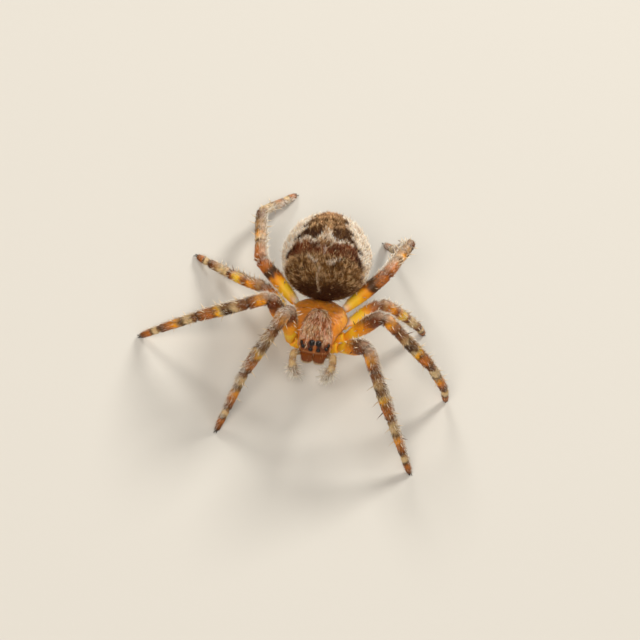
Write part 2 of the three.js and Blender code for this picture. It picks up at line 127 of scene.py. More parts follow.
# Leg segments from the coxa to the tarsus: radius at the start and the end, and
# how much the middle swells.
GIRTHS = np.array([
    [0.27, 0.27, 0.05],
    [0.27, 0.37, 0.13],
    [0.37, 0.35, 0.03],
    [0.34, 0.31, 0.05],
    [0.29, 0.26, 0.01],
    [0.24, 0.18, 0.03],
])
SEGMENTS = ("coxa", "femur", "patella", "tibia", "metatarsus", "tarsus")
BEND_RADIUS = 0.5
LEAST_REACH = 0.18
BEND_SHARE = 0.5
FOOT_FLAT = 0.06
FOOT_RADIUS = 0.2

Leg = namedtuple("Leg", "lengths root hip girth")
LEG_PAIRS = (
    Leg((3.5, 1.45, 2.8, 2.25, 1.25), (0.62, -0.98, -0.55), (1.35, -1.0, -0.34), 1),
    Leg((3.35, 1.35, 2.9, 2.25, 1.2), (0.68, -0.34, -0.58), (1.62, -0.3, -0.36), 0.98),
    Leg((2.05, 0.95, 1.65, 1.4, 0.85), (0.66, 0.32, -0.58), (1.62, 0.52, -0.36), 0.9),
    Leg((3.1, 1.4, 2.45, 2.2, 1.1), (0.5, 0.98, -0.56), (1.28, 1.3, -0.36), 0.96),
)
# Swings of the femur, of the patella with the tibia and of the metatarsus with the
# tarsus, then lifts of the femur, patella, tibia and metatarsus.
POSES = {
    "right": (
        ((0, 63, 74), (76, -44, -37, -45)),
        ((3, 12, 13), (62, -36, -33, -39)),
        ((-34, -35, -33), (15, -39, -29, -22)),
        ((-41, -87, -130), (6, -18, -12, -23)),
    ),
    "left": (
        ((57, 49, 39), (61, -40, -36, -46)),
        ((3, 17, 5), (68, -34, -33, -55)),
        ((-34, -15, -15), (34, -30, -45, -47)),
        ((-43, -66, -124), (39, -18, -24, -70)),
    ),
}

# ------------------------------------------------------------------ colours


def linear(code):
    """An sRGB hex colour as linear red, green and blue."""
    channels = np.array([int(code[k:k + 2], 16) for k in (1, 3, 5)]) / 255
    return np.where(channels <= 0.04045, channels / 12.92, ((channels + 0.055) / 1.055) ** 2.4)


def swatch(name, description, code):
    """A colour that a user may change, from its sRGB hex value."""
    return FloatVectorProperty(
        name=name, description=description, subtype="COLOR", size=3, min=0, max=1,
        default=tuple(linear(code)),
    )


class SpiderPalette(PropertyGroup):
    """Colours of the skin, shell and hair."""

    cream: swatch("Cream", "Flanks and pale bands of the abdomen", "#F6E8D8")
    pinkish: swatch("Pinkish cream", "Hairs of the head", "#EEA880")
    umber: swatch("Umber", "Dark blotches of the leaf marking", "#3C1E0A")
    russet: swatch("Russet", "Red-brown band of the leaf marking", "#6E300E")
    olive: swatch("Olive tan", "Front half of the abdomen", "#80582A")
    fawn: swatch("Fawn", "Rear of the leaf marking", "#8E6942")
    sable: swatch("Sable", "Front face and belly band of the abdomen", "#44220E")
    yellow: swatch("Yellow", "Bases of the legs", "#FFD034")
    gold: swatch("Gold", "Light rings of the legs", "#F6A41E")
    orange: swatch("Orange", "Orange rings of the legs", "#BE6E24")
    rust: swatch("Rust", "Rusty rings of the legs", "#7A451C")
    bark: swatch("Bark", "Dark rings of the legs", "#4C3016")
    straw: swatch("Straw", "Pale rings of the legs and the palps", "#DCC08E")
    tan: swatch("Tan", "Tan rings of the legs", "#AE8450")
    amber: swatch("Amber", "Rear of the carapace", "#DC8A2A")
    honey: swatch("Honey", "Sides of the carapace", "#E6A440")
    chestnut: swatch("Chestnut", "Head under its hairs", "#8C4A20")
    garnet: swatch("Garnet", "Fovea and the ground between the eyes", "#74300C")
    jaw: swatch("Jaw", "Jaws", "#80400C")
    black: swatch("Black", "Eyes, claws and eye rims", "#120A07")


class SpiderCoat(PropertyGroup):
    """Size and number of the hairs."""

    abdomen_hairs: IntProperty(
        name="Abdomen hairs", description="Hairs in each of the abdomen's four coats",
        default=17000, min=0, max=19500)
    head_hairs: IntProperty(
        name="Head hairs", description="Hairs on the carapace", default=3200, min=0, max=19500)
    leg_hairs: IntProperty(
        name="Leg hairs", description="Hairs on each leg", default=5200, min=0, max=9500)
    palp_hairs: IntProperty(
        name="Palp hairs", description="Hairs on each palp", default=1500, min=0, max=9500)
    hair_length: FloatProperty(
        name="Hair length", description="Mean length of the abdomen's hairs",
        default=0.21 * MM, min=0, unit="LENGTH", precision=6)
    hair_radius: FloatProperty(
        name="Hair radius", description="Radius of the abdomen's hairs at the root",
        default=0.0135 * MM, min=0, unit="LENGTH", precision=6)


class SpiderStage(PropertyGroup):
    """Camera and lights."""

    distance: FloatProperty(
        name="Camera distance", description="From the camera to the middle of the view",
        default=0.173, min=0.05, unit="LENGTH")
    azimuth: FloatProperty(
        name="Azimuth", description="Turn of the camera round the spider",
        default=np.radians(-16), subtype="ANGLE")
    elevation: FloatProperty(
        name="Elevation", description="Height of the camera over the floor",
        default=np.radians(57), subtype="ANGLE")
    roll: FloatProperty(
        name="Roll", description="Lean of the camera", default=np.radians(26), subtype="ANGLE")
    floor: swatch("Floor", "Studio floor", "#CDCBC6")


def inks(scene):
    """The palette's colours by name, as arrays."""
    palette = scene.spider_palette
    return {name: np.array(getattr(palette, name)) for name in SpiderPalette.__annotations__}


# ------------------------------------------------------------------ mathematics


def unit(vectors):
    """Vectors divided by their own length."""
    return vectors / np.maximum(np.linalg.norm(vectors, axis=-1, keepdims=True), 1e-12)


def smooth(x):
    """Rises from 0 to 1 as x does, as x squared times 3 - 2x."""
    x = np.clip(x, 0, 1)
    return x * x * (3 - 2 * x)


def pulse(x, centre, half, soft):
    """1 within half of the centre, falling to 0 over the width soft."""
    return smooth((half + soft - np.abs(x - centre)) / soft)


def bell(x, width):
    """The bell curve exp(-(x / width) squared)."""
    return np.exp(-(x / width) ** 2)


def over(under, colour, cover):
    """A colour laid over what is under it, as thick as cover says, from 0 to 1."""
    return under + (colour - under) * np.asarray(cover)[..., None]


def hashed(cells, seed):
    """A fixed number from 0 to 1 for each whole-numbered cell."""
    x, y, z = np.moveaxis(cells.astype(np.int64), -1, 0)
    n = (x * 374761393 + y * 668265263 + z * 1442695041 + seed * 97531) & 0xFFFFFFFF
    n = ((n ^ (n >> 13)) * 1274126177) & 0xFFFFFFFF
    return ((n ^ (n >> 16)) & 0xFFFF) / 0xFFFF


def mottle(points, cell, seed):
    """Noise from 0 to 1: fixed numbers at the corners of cubes, smoothly mixed."""
    scaled = points / cell
    low = np.floor(scaled)
    share = smooth(scaled - low)
    total = 0
    for corner in np.ndindex(2, 2, 2):
        weight = np.prod(np.where(corner, share, 1 - share), axis=-1)
        total = total + weight * hashed(low + corner, seed)
    return total


def clumps(points, cell, seed, low, width):
    """Noise with clear edges: 0 where mottle is under low, 1 where it is a width above it."""
    return smooth((mottle(points, cell, seed) - low) / width)


def turn_matrix(degrees, axis):
    """A turn about the x, y or z axis."""
    return np.array(Matrix.Rotation(np.radians(degrees), 3, axis))


BODY_TURN = turn_matrix(BODY_PITCH, "X") @ turn_matrix(BODY_ROLL, "Y")


def to_standing(points):
    """Body frame to standing frame."""
    return points @ BODY_TURN.T + (0, 0, BODY_HEIGHT)


def to_row(points):
    """Standing millimetres to the row's metres."""
    return (points + CENTRE_SHIFT) * MM


def along_spline(stations, share):
    """Catmull-Rom curve: cubics through the stations, whose slope at each is half of the step
    from the station before it to the one after."""
    last = len(stations) - 1
    padded = np.vstack([2 * stations[0] - stations[1], stations, 2 * stations[-1] - stations[-2]])
    place = np.asarray(share) * last
    index = np.clip(np.floor(place).astype(int), 0, last - 1)
    w = (place - index)[..., None]
    before, start, end, after = (padded[index + k] for k in range(4))
    leave, arrive = (end - before) / 2, (after - start) / 2
    return (start + leave * w + (3 * (end - start) - 2 * leave - arrive) * w ** 2
            + (2 * (start - end) + leave + arrive) * w ** 3)


# ------------------------------------------------------------------ meshes

# Points with quads and triangles that index them, the map's place of each face
# corner, a colour for each point, and the number of the material.
Part = namedtuple("Part", "points quads triangles quad_uvs triangle_uvs colours finish")


def outward_volume(points, quads, triangles):
    """Six times the enclosed volume: negative when the faces point inwards."""
    a, b, c, d = (points[quads[:, k]] for k in range(4))
    total = np.einsum("ij,ij->", a, np.cross(b, c)) + np.einsum("ij,ij->", a, np.cross(c, d))
    a, b, c = (points[triangles[:, k]] for k in range(3))
    return total + np.einsum("ij,ij->", a, np.cross(b, c))


def map_corners(*places):
    """Places of the corners of faces on the map, from a u and a v for each corner."""
    return np.stack([np.stack(np.broadcast_arrays(u, v), axis=-1) for u, v in places], axis=-2)


def with_hubs(grid):
    """The rows of a grid in one list, then the means of its two end rings."""
    return np.vstack([grid.reshape(-1, 3), grid[0].mean(axis=0), grid[-1].mean(axis=0)])


def closed_part(grid, colours, finish=0, place=(0, 0, 1, 1)):
    """A grid of rings as a closed surface: its columns wrap round and a fan closes each
    end over the middle of the end ring. place is the part's rectangle on the map."""
    rows, columns = grid.shape[:2]
    index = np.arange(rows * columns).reshape(rows, columns)
    beside = np.roll(index, -1, axis=1)
    quads = np.stack([index[:-1], beside[:-1], beside[1:], index[1:]], axis=-1).reshape(-1, 4)
    hubs = np.full(columns, rows * columns)
    triangles = np.concatenate([
        np.stack([hubs, beside[0], index[0]], axis=-1),
        np.stack([hubs + 1, index[-1], beside[-1]], axis=-1),
    ])
    x0, y0, x1, y1 = place
    u = x0 + (x1 - x0) * np.arange(columns + 1) / columns
    v = y0 + (y1 - y0) * np.arange(1, rows + 1) / (rows + 1)
    left, right = u[:-1], u[1:]
    low, high = v[:-1, None], v[1:, None]
    middle = (left + right) / 2
    quad_uvs = map_corners((left, low), (right, low), (right, high), (left, high))
    quad_uvs = quad_uvs.reshape(-1, 4, 2)
    triangle_uvs = np.concatenate([
        map_corners((middle, y0), (right, v[0]), (left, v[0])),
        map_corners((middle, y1), (left, v[-1]), (right, v[-1])),
    ])
    points = with_hubs(grid)
    if outward_volume(points, quads, triangles) < 0:
        quads, quad_uvs = quads[:, ::-1], quad_uvs[:, ::-1]
        triangles, triangle_uvs = triangles[:, ::-1], triangle_uvs[:, ::-1]
    return Part(points, quads, triangles, quad_uvs, triangle_uvs, with_hubs(colours), finish)


def add_piece(name, parts, materials, replaces=()):
    """One mesh object from parts given in standing millimetres."""
    starts = np.cumsum([0] + [len(part.points) for part in parts])
    points = to_row(np.vstack([part.points for part in parts]))
    quads = np.vstack([part.quads + start for part, start in zip(parts, starts)])
    triangles = np.vstack([part.triangles + start for part, start in zip(parts, starts)])
    finishes = [np.full(len(part.quads), part.finish) for part in parts]
    finishes += [np.full(len(part.triangles), part.finish) for part in parts]
    uvs = np.vstack([part.quad_uvs.reshape(-1, 2) for part in parts]
                    + [part.triangle_uvs.reshape(-1, 2) for part in parts])
    tints = np.vstack([part.colours for part in parts])
    opaque = np.hstack([tints, np.ones((len(tints), 1))])
    corners = np.concatenate([quads.ravel(), triangles.ravel()])
    quad_starts = np.arange(len(quads)) * 4
    triangle_starts = 4 * len(quads) + np.arange(len(triangles)) * 3
    face_starts = np.concatenate([quad_starts, triangle_starts])
    mesh = bpy.data.meshes.new(name)
    mesh.vertices.add(len(points))
    mesh.vertices.foreach_set("co", points.ravel())
    mesh.loops.add(len(corners))
    mesh.loops.foreach_set("vertex_index", corners.astype(np.int32))
    mesh.polygons.add(len(face_starts))
    mesh.polygons.foreach_set("loop_start", face_starts.astype(np.int32))
    mesh.polygons.foreach_set("material_index", np.concatenate(finishes).astype(np.int32))
    mesh.update(calc_edges=True)
    mesh.shade_smooth()
    tint = mesh.attributes.new("tint", "FLOAT_COLOR", "POINT")
    tint.data.foreach_set("color", opaque.astype(np.float32).ravel())
    mesh.uv_layers.new(name="OFBake").data.foreach_set("uv", uvs.astype(np.float32).ravel())
    if mesh.validate():
        raise RuntimeError(f"{name} has faces that Blender had to repair")
    for material in materials:
        mesh.materials.append(material)
    piece = bpy.data.objects.new(name, mesh)
    bpy.context.scene.collection.objects.link(piece)
    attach(piece, "root")
    if replaces:
        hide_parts(*replaces)


def plain(grid, colour):
    """The same colour at every point of a grid."""
    return np.broadcast_to(colour, grid.shape).copy()


def pushed(grid, heights):
    """A grid of rings moved along its outward normals by the heights given."""
    columns = grid.shape[1]
    wide = np.concatenate([grid, grid, grid], axis=1)
    along, around = np.gradient(wide, axis=(0, 1))
    normals = unit(np.cross(along, around)[:, columns:2 * columns])
    outwards = grid - grid.mean(axis=(0, 1))
    if np.einsum("ijk,ijk->", normals, outwards) < 0:
        normals = -normals
    return grid + normals * heights[..., None]


# ------------------------------------------------------------------ limbs

Limb = namedtuple("Limb", "line tangents sideways ups radii stations")
ARC_STEPS = 21


def carried(line, first_up):
    """Tangents, sideways and up directions of a line. The up direction is carried from
    station to station, so that the surface round the line doesn't twist."""
    tangents = unit(np.gradient(line, axis=0))
    ups = np.empty_like(line)
    up = np.asarray(first_up, float)
    for k, tangent in enumerate(tangents):
        up = unit(up - tangent * (up @ tangent))
        ups[k] = up
    return tangents, np.cross(tangents, ups), ups


def limb_grid(limb, columns):
    """Rings round a limb: its line plus radius times cos(angle) sideways and sin(angle) up."""
    angle = np.linspace(0, 2 * np.pi, columns, endpoint=False)[None, :, None]
    return (limb.line[:, None] + limb.radii[:, None, None]
            * (np.cos(angle) * limb.sideways[:, None] + np.sin(angle) * limb.ups[:, None]))


def tube(line, radii, first_up=(0, 0, 1), columns=12):
    """Rings of the given radii along a line."""
    return limb_grid(Limb(line, *carried(line, first_up), np.asarray(radii), None), columns)


def leg_direction(swing, lift, side):
    """Unit vector of a leg segment: swing turns it to the front and lift raises it."""
    turn, rise = np.radians([swing, lift])
    return np.array([side * np.cos(turn) * np.cos(rise), -np.sin(turn) * np.cos(rise), np.sin(rise)])


def leg_joints(number, side_name):
    """The seven joints of a leg from the coxa's root to the tip of the foot."""
    side = SIDES[side_name]
    leg = LEG_PAIRS[number - 1]
    (swing, bend, foot), lifts = POSES[side_name][number - 1]
    joints = [to_standing(np.array(place) * (side, 1, 1)) for place in (leg.root, leg.hip)]
    for turn, lift, length in zip((swing, bend, bend, foot), lifts, leg.lengths):
        joints.append(joints[-1] + leg_direction(turn, lift, side) * length)
    length = leg.lengths[-1]
    drop = joints[-1][2] + FOOT_FLAT
    lift = np.arctan2(FOOT_RADIUS, length) - np.arcsin(drop / np.hypot(length, FOOT_RADIUS))
    joints.append(joints[-1] + leg_direction(foot, np.degrees(lift), side) * length)
    return np.array(joints)


def rounded_line(joints):
    """The joints' line with an arc in place of each corner, the distance travelled along it,
    and the distance at which it passes each joint."""
    pieces = [joints[:1]]
    for before, corner, after in zip(joints[:-2], joints[1:-1], joints[2:]):
        incoming, outgoing = unit(corner - before), unit(after - corner)
        angle = np.arccos(np.clip(incoming @ outgoing, -1, 1))
        reach = min(
            max(BEND_RADIUS * np.tan(angle / 2), LEAST_REACH),
            BEND_SHARE * np.linalg.norm(corner - before),
            BEND_SHARE * np.linalg.norm(after - corner),
        )
        radius = reach / np.tan(angle / 2)
        inward = unit(outgoing - incoming * (incoming @ outgoing))
        turn = np.linspace(0, angle, ARC_STEPS)[:, None]
        pieces.append(corner - incoming * reach + inward * radius * (1 - np.cos(turn))
                      + incoming * radius * np.sin(turn))
    line = np.vstack(pieces + [joints[-1:]])
    travelled = np.concatenate([[0], np.cumsum(np.linalg.norm(np.diff(line, axis=0), axis=1))])
    middles = 1 + ARC_STEPS // 2 + ARC_STEPS * np.arange(len(joints) - 2)
    return line, travelled, np.concatenate([[0], travelled[middles], travelled[-1:]])


# Where the trochanter ends along the coxa's segment, and the width of a joint's soft skin.
TROCHANTER = 0.7
JOINT_WIDTH = 0.075
# How far the soft skin draws in at the trochanter and at each joint after it.
JOINT_DEPTHS = (0.12, 0.2, 0.22, 0.15, 0.2, 0.14)
# Least heights over the floor of a foot, of the skin, of the hairs and of the claws.
FOOT_HEIGHT = 0.004
SKIN_HEIGHT = 0.003
HAIR_HEIGHT = 0.001
CLAW_HEIGHT = 0.012


def leg_limb(number, side_name):
    """A leg as one limb. Stations count the joints passed, from 0 to 6, and lie closer near
    them. The radius swells in each segment and draws in at the soft skin of each joint."""
    line, travelled, marks = rounded_line(leg_joints(number, side_name))
    share = np.linspace(0, 1, 39)[:-1]
    share = 0.45 * share + 0.55 * (1 - np.cos(np.pi * share)) / 2
    stations = np.concatenate([share + k for k in range(6)] + [[5.992, 5.9985, 6]])
    distances = np.interp(stations, np.arange(7), marks)
    centres = np.stack([np.interp(distances, travelled, line[:, k]) for k in range(3)], axis=-1)
    segment = np.minimum(stations.astype(int), 5)
    along = stations - segment
    start, end, belly = GIRTHS[segment].T
    girth = np.where((segment > 0) & (segment < 4), LEG_PAIRS[number - 1].girth, 1)
    radii = (start + (end - start) * along + belly * np.sin(np.pi * along)) * girth
    radii -= np.where(segment == 0, 0.4, 1) * COAT_DEPTH
    trochanter = np.interp(TROCHANTER, [0, 1], marks[:2])
    for mark, depth in zip([trochanter, *marks[1:-1]], JOINT_DEPTHS):
        gap = (distances - mark) / JOINT_WIDTH
        radii *= 1 - depth * bell(gap, 1) + 0.3 * depth * bell(np.abs(gap) - 2.3, 1.1)
    root = np.clip(distances / 0.22, 0, 1)
    radii *= 0.5 + 0.5 * np.sqrt(1 - (1 - root) ** 2)
    tip = np.clip((distances[-1] - distances) / 0.16, 0, 1)
    radii *= 0.12 + 0.88 * np.sqrt(1 - (1 - tip) ** 2)
    centres = soft_bends(centres)
    limb = Limb(centres, *carried(centres, (0, 0, 1)), radii, stations)
    lowest = limb_grid(limb, 24)[-9:, :, 2].min()
    sink = np.clip(stations - 5, 0, 1) * (lowest - FOOT_HEIGHT)
    return limb._replace(line=limb.line - np.stack([0 * sink, 0 * sink, sink], axis=-1))


def soft_bends(line):
    """A line averaged with its neighbours, its ends kept."""
    inner = (line[:-2] + 2 * line[1:-1] + line[2:]) / 4
    return np.vstack([line[:1], inner, line[-1:]])


# ------------------------------------------------------------------ body surfaces

# Rows and columns of the two finest surfaces.
ABDOMEN_ROWS, ABDOMEN_COLUMNS = 190, 216
CARAPACE_ROWS, CARAPACE_COLUMNS = 190, 160
# How far these surfaces are set in, so that their relief has room.
RELIEF_ROOM = 0.02


def ellipsoid_turns(rows, columns, tip=0.02):
    """Turn from the front pole and angle from the top, in radians, on a grid."""
    turn = np.linspace(tip, np.pi - tip, rows)[:, None]
    around = np.linspace(-np.pi, np.pi, columns, endpoint=False)[None]
    return np.broadcast_arrays(turn, around)


def abdomen_surface(turn, around, inset=COAT_DEPTH):
    """An egg: x = sin(turn) sin(around), y = -cos(turn), z = sin(turn) cos(around), each times
    its half size less the inset. The egg is broader in front."""
    half = ABDOMEN_HALF - inset
    shoulder = 1 + ABDOMEN_SHOULDER * np.cos(turn)
    egg = np.stack([
        half[0] * shoulder * np.sin(turn) * np.sin(around),
        -half[1] * np.cos(turn),
        half[2] * np.sin(turn) * np.cos(around),
    ], axis=-1)
    return egg + ABDOMEN_CENTRE


# Pairs of small dents on the back where the muscles hold: turn and angle, in degrees.
MUSCLE_DENTS = ((52, 11), (70, 15), (88, 13), (104, 10), (120, 8))
# Turns of the belly's furrow and of the two lung covers before it, in degrees, and how far
# the covers lie from the middle.
FURROW_TURN = 54
LUNG_TURN = 41
LUNG_SIDE = 0.75


def from_midline(turn, around):
    """Degrees round the abdomen from the marking's middle line, from -180 to 180."""
    twist = ABDOMEN_TWIST + FRONT_TWIST * smooth((66 - np.degrees(turn)) / 40)
    return (np.degrees(around) - twist + 180) % 360 - 180


def abdomen_relief(turn, around, points):
    """Heights on the abdomen's skin: soft folds, muscle dents, the belly's furrow with the
    two lung covers before it, and a dimple over the waist."""
    t, a = np.degrees(turn), from_midline(turn, around)
    height = 0.05 * (mottle(points, 0.9, 1) - 0.5) + 0.02 * (mottle(points, 0.28, 2) - 0.5)
    for dent_turn, dent_angle in MUSCLE_DENTS:
        spread = ((t - dent_turn) / 2.2) ** 2 + ((np.abs(a) - dent_angle) / 2.4) ** 2
        height -= 0.05 * np.exp(-spread)
    below = smooth((np.abs(np.degrees(around)) - 118) / 16)
    height -= 0.09 * below * bell(t - FURROW_TURN, 2.5)
    side = np.abs(points[..., 0] - ABDOMEN_CENTRE[0])
    lungs = bell(side - LUNG_SIDE, 0.36) * bell(t - LUNG_TURN, 8)
    return height + 0.05 * below * lungs


def abdomen_grid():
    """The abdomen's skin in the body frame, with its turns and angles."""
    turn, around = ellipsoid_turns(ABDOMEN_ROWS, ABDOMEN_COLUMNS)
    base = abdomen_surface(turn, around, COAT_DEPTH + RELIEF_ROOM)
    return pushed(base, abdomen_relief(turn, around, base)), turn, around


def carapace_surface(along, angle, inset=0.0):
    """A shell of stations along its length. Round each, x is the half width times cos(angle),
    and z rises from the rim by sin(angle) to the power of the fullness."""
    y, half_width, top, bottom = np.moveaxis(along_spline(CARAPACE_STATIONS, along), -1, 0)
    rim = bottom + (top - bottom) * RIM_SHARE
    sine = np.sin(angle)
    rise = (top - inset - rim) * np.abs(sine) ** CARAPACE_FULLNESS
    height = np.where(sine > 0, rise, (rim - bottom) * sine)
    return np.stack([(half_width - inset) * np.cos(angle), y, rim + height], axis=-1)


# The head's outline in plan, from the fovea to the face: y, half width.
HEAD_OUTLINE = np.array([
    [0.64, 0.0], [0.6, 0.2], [0.5, 0.36], [0.3, 0.5], [0.05, 0.64],
    [-0.3, 0.76], [-0.8, 0.85], [-1.6, 0.89], [-2, 0.92],
])
# Courses of the furrows that fan out from the fovea, in degrees from straight ahead.
FURROW_COURSES = (62, 92, 122, 150)


def head_half_width(y):
    """Half the width of the head between its grooves."""
    return np.interp(-y, -HEAD_OUTLINE[:, 0], HEAD_OUTLINE[:, 1])


def groove_distance(x, y):
    """Distance outwards from the grooves that part the head from the thorax: how far a place
    is beyond the head's half width there."""
    half_width = head_half_width(y)
    beside = np.maximum(np.abs(x) - half_width, 0)
    behind = np.maximum(y - HEAD_OUTLINE[0, 0], 0)
    return np.hypot(beside, behind) - np.maximum(half_width - np.abs(x), 0)


def round_fovea(points):
    """Distance from the fovea in plan, and degrees round it from straight ahead."""
    dx, dy = points[..., 0] - FOVEA[0], points[..., 1] - FOVEA[1]
    return np.hypot(dx, dy), np.degrees(np.arctan2(np.abs(dx), -dy))


def furrow_line(reach, course, aim, width):
    """A line that leaves the fovea at an aim: the bell curve of the arc between a place and
    the line."""
    return bell((course - aim) * np.pi / 180 * reach, width)


def carapace_relief(points, up):
    """Heights on the carapace: the fovea's dent, the head's grooves and dome, four pairs of
    furrows that fan out from the fovea, mounds under the eyes, and a thin raised edge."""
    x, y = points[..., 0], points[..., 1]
    reach, course = round_fovea(points)
    height = -0.13 * bell(x - FOVEA[0], 0.2) * bell(y - FOVEA[1], 0.13)
    gap = groove_distance(x, y)
    inside = smooth((1.35 - reach) / 0.3) * smooth((reach - 0.12) / 0.2)
    height = height - 0.05 * bell(gap, 0.07) * inside + 0.05 * smooth(-gap / 0.3)
    for aim in FURROW_COURSES:
        line = furrow_line(reach, course, aim, 0.075)
        height = height - 0.022 * line * smooth((reach - 0.2) / 0.25) * smooth((1.35 - reach) / 0.4)
    for eye_x, eye_y, radius in EYES.values():
        distance = np.hypot(np.abs(x) - eye_x, y - eye_y)
        height = height + 0.035 * bell(distance, radius * 1.5) - 0.02 * bell(distance, radius * 0.8)
    height = height * smooth(up / 0.4) + 0.025 * bell(up - 0.05, 0.12)
    return height + 0.012 * (mottle(points, 0.12, 5) - 0.5)


def carapace_grid():
    """The carapace in the body frame, with each point's angle round it."""
    along = np.linspace(0, 1, CARAPACE_ROWS)[:, None]
    angle = np.linspace(0, 2 * np.pi, CARAPACE_COLUMNS, endpoint=False)[None]
    along, angle = np.broadcast_arrays(along, angle)
    base = carapace_surface(along, angle, RELIEF_ROOM)
    return pushed(base, carapace_relief(base, np.sin(angle))), angle


def carapace_place(x, y):
    """The point of the carapace over a place in plan, and its normal."""
    y_all = along_spline(CARAPACE_STATIONS, np.linspace(0, 1, 400))[:, 0]
    along = np.interp(y, y_all, np.linspace(0, 1, 400))
    half_width = along_spline(CARAPACE_STATIONS, along)[1]
    angle = np.arccos(x / half_width)
    step = 0.02
    here = carapace_surface(along, angle)
    lengthwise = carapace_surface(along + step, angle) - carapace_surface(along - step, angle)
    sideways = carapace_surface(along, angle + step) - carapace_surface(along, angle - step)
    normal = unit(np.cross(lengthwise, sideways))
    return here, normal * np.sign(normal[2])


# ------------------------------------------------------------------ markings

# The leaf's outline: degrees from the front pole, then degrees from the middle line.
LEAF_OUTLINE = np.array([[55, 84], [64, 66], [76, 49], [90, 36], [110, 27], [140, 23], [172, 14]])


def pale_hair(ink):
    """Beige of the abdomen's pale hairs: two parts of straw to one of pinkish cream."""
    return (2 * ink["straw"] + ink["pinkish"]) / 3


def belly_marking(t, points, dots, ink):
    """The belly's colours: a dark band between two pale commas, and tan lung covers."""
    side = np.abs(points[..., 0] - ABDOMEN_CENTRE[0])
    colour = over(plain(points, ink["fawn"]), ink["umber"], 0.5 + 0.3 * dots)
    colour = over(colour, ink["sable"], smooth((0.72 - side) / 0.14) * smooth((150 - t) / 12))
    comma = pulse(side, 0.95 - 0.16 * smooth((t - 60) / 40), 0.08, 0.07) * pulse(t, 84, 25, 7)
    colour = over(colour, ink["straw"], 0.9 * comma)
    lungs = pulse(side, LUNG_SIDE, 0.3, 0.12) * pulse(t, LUNG_TURN, 9, 3)
    return over(colour, ink["tan"], 0.75 * lungs)


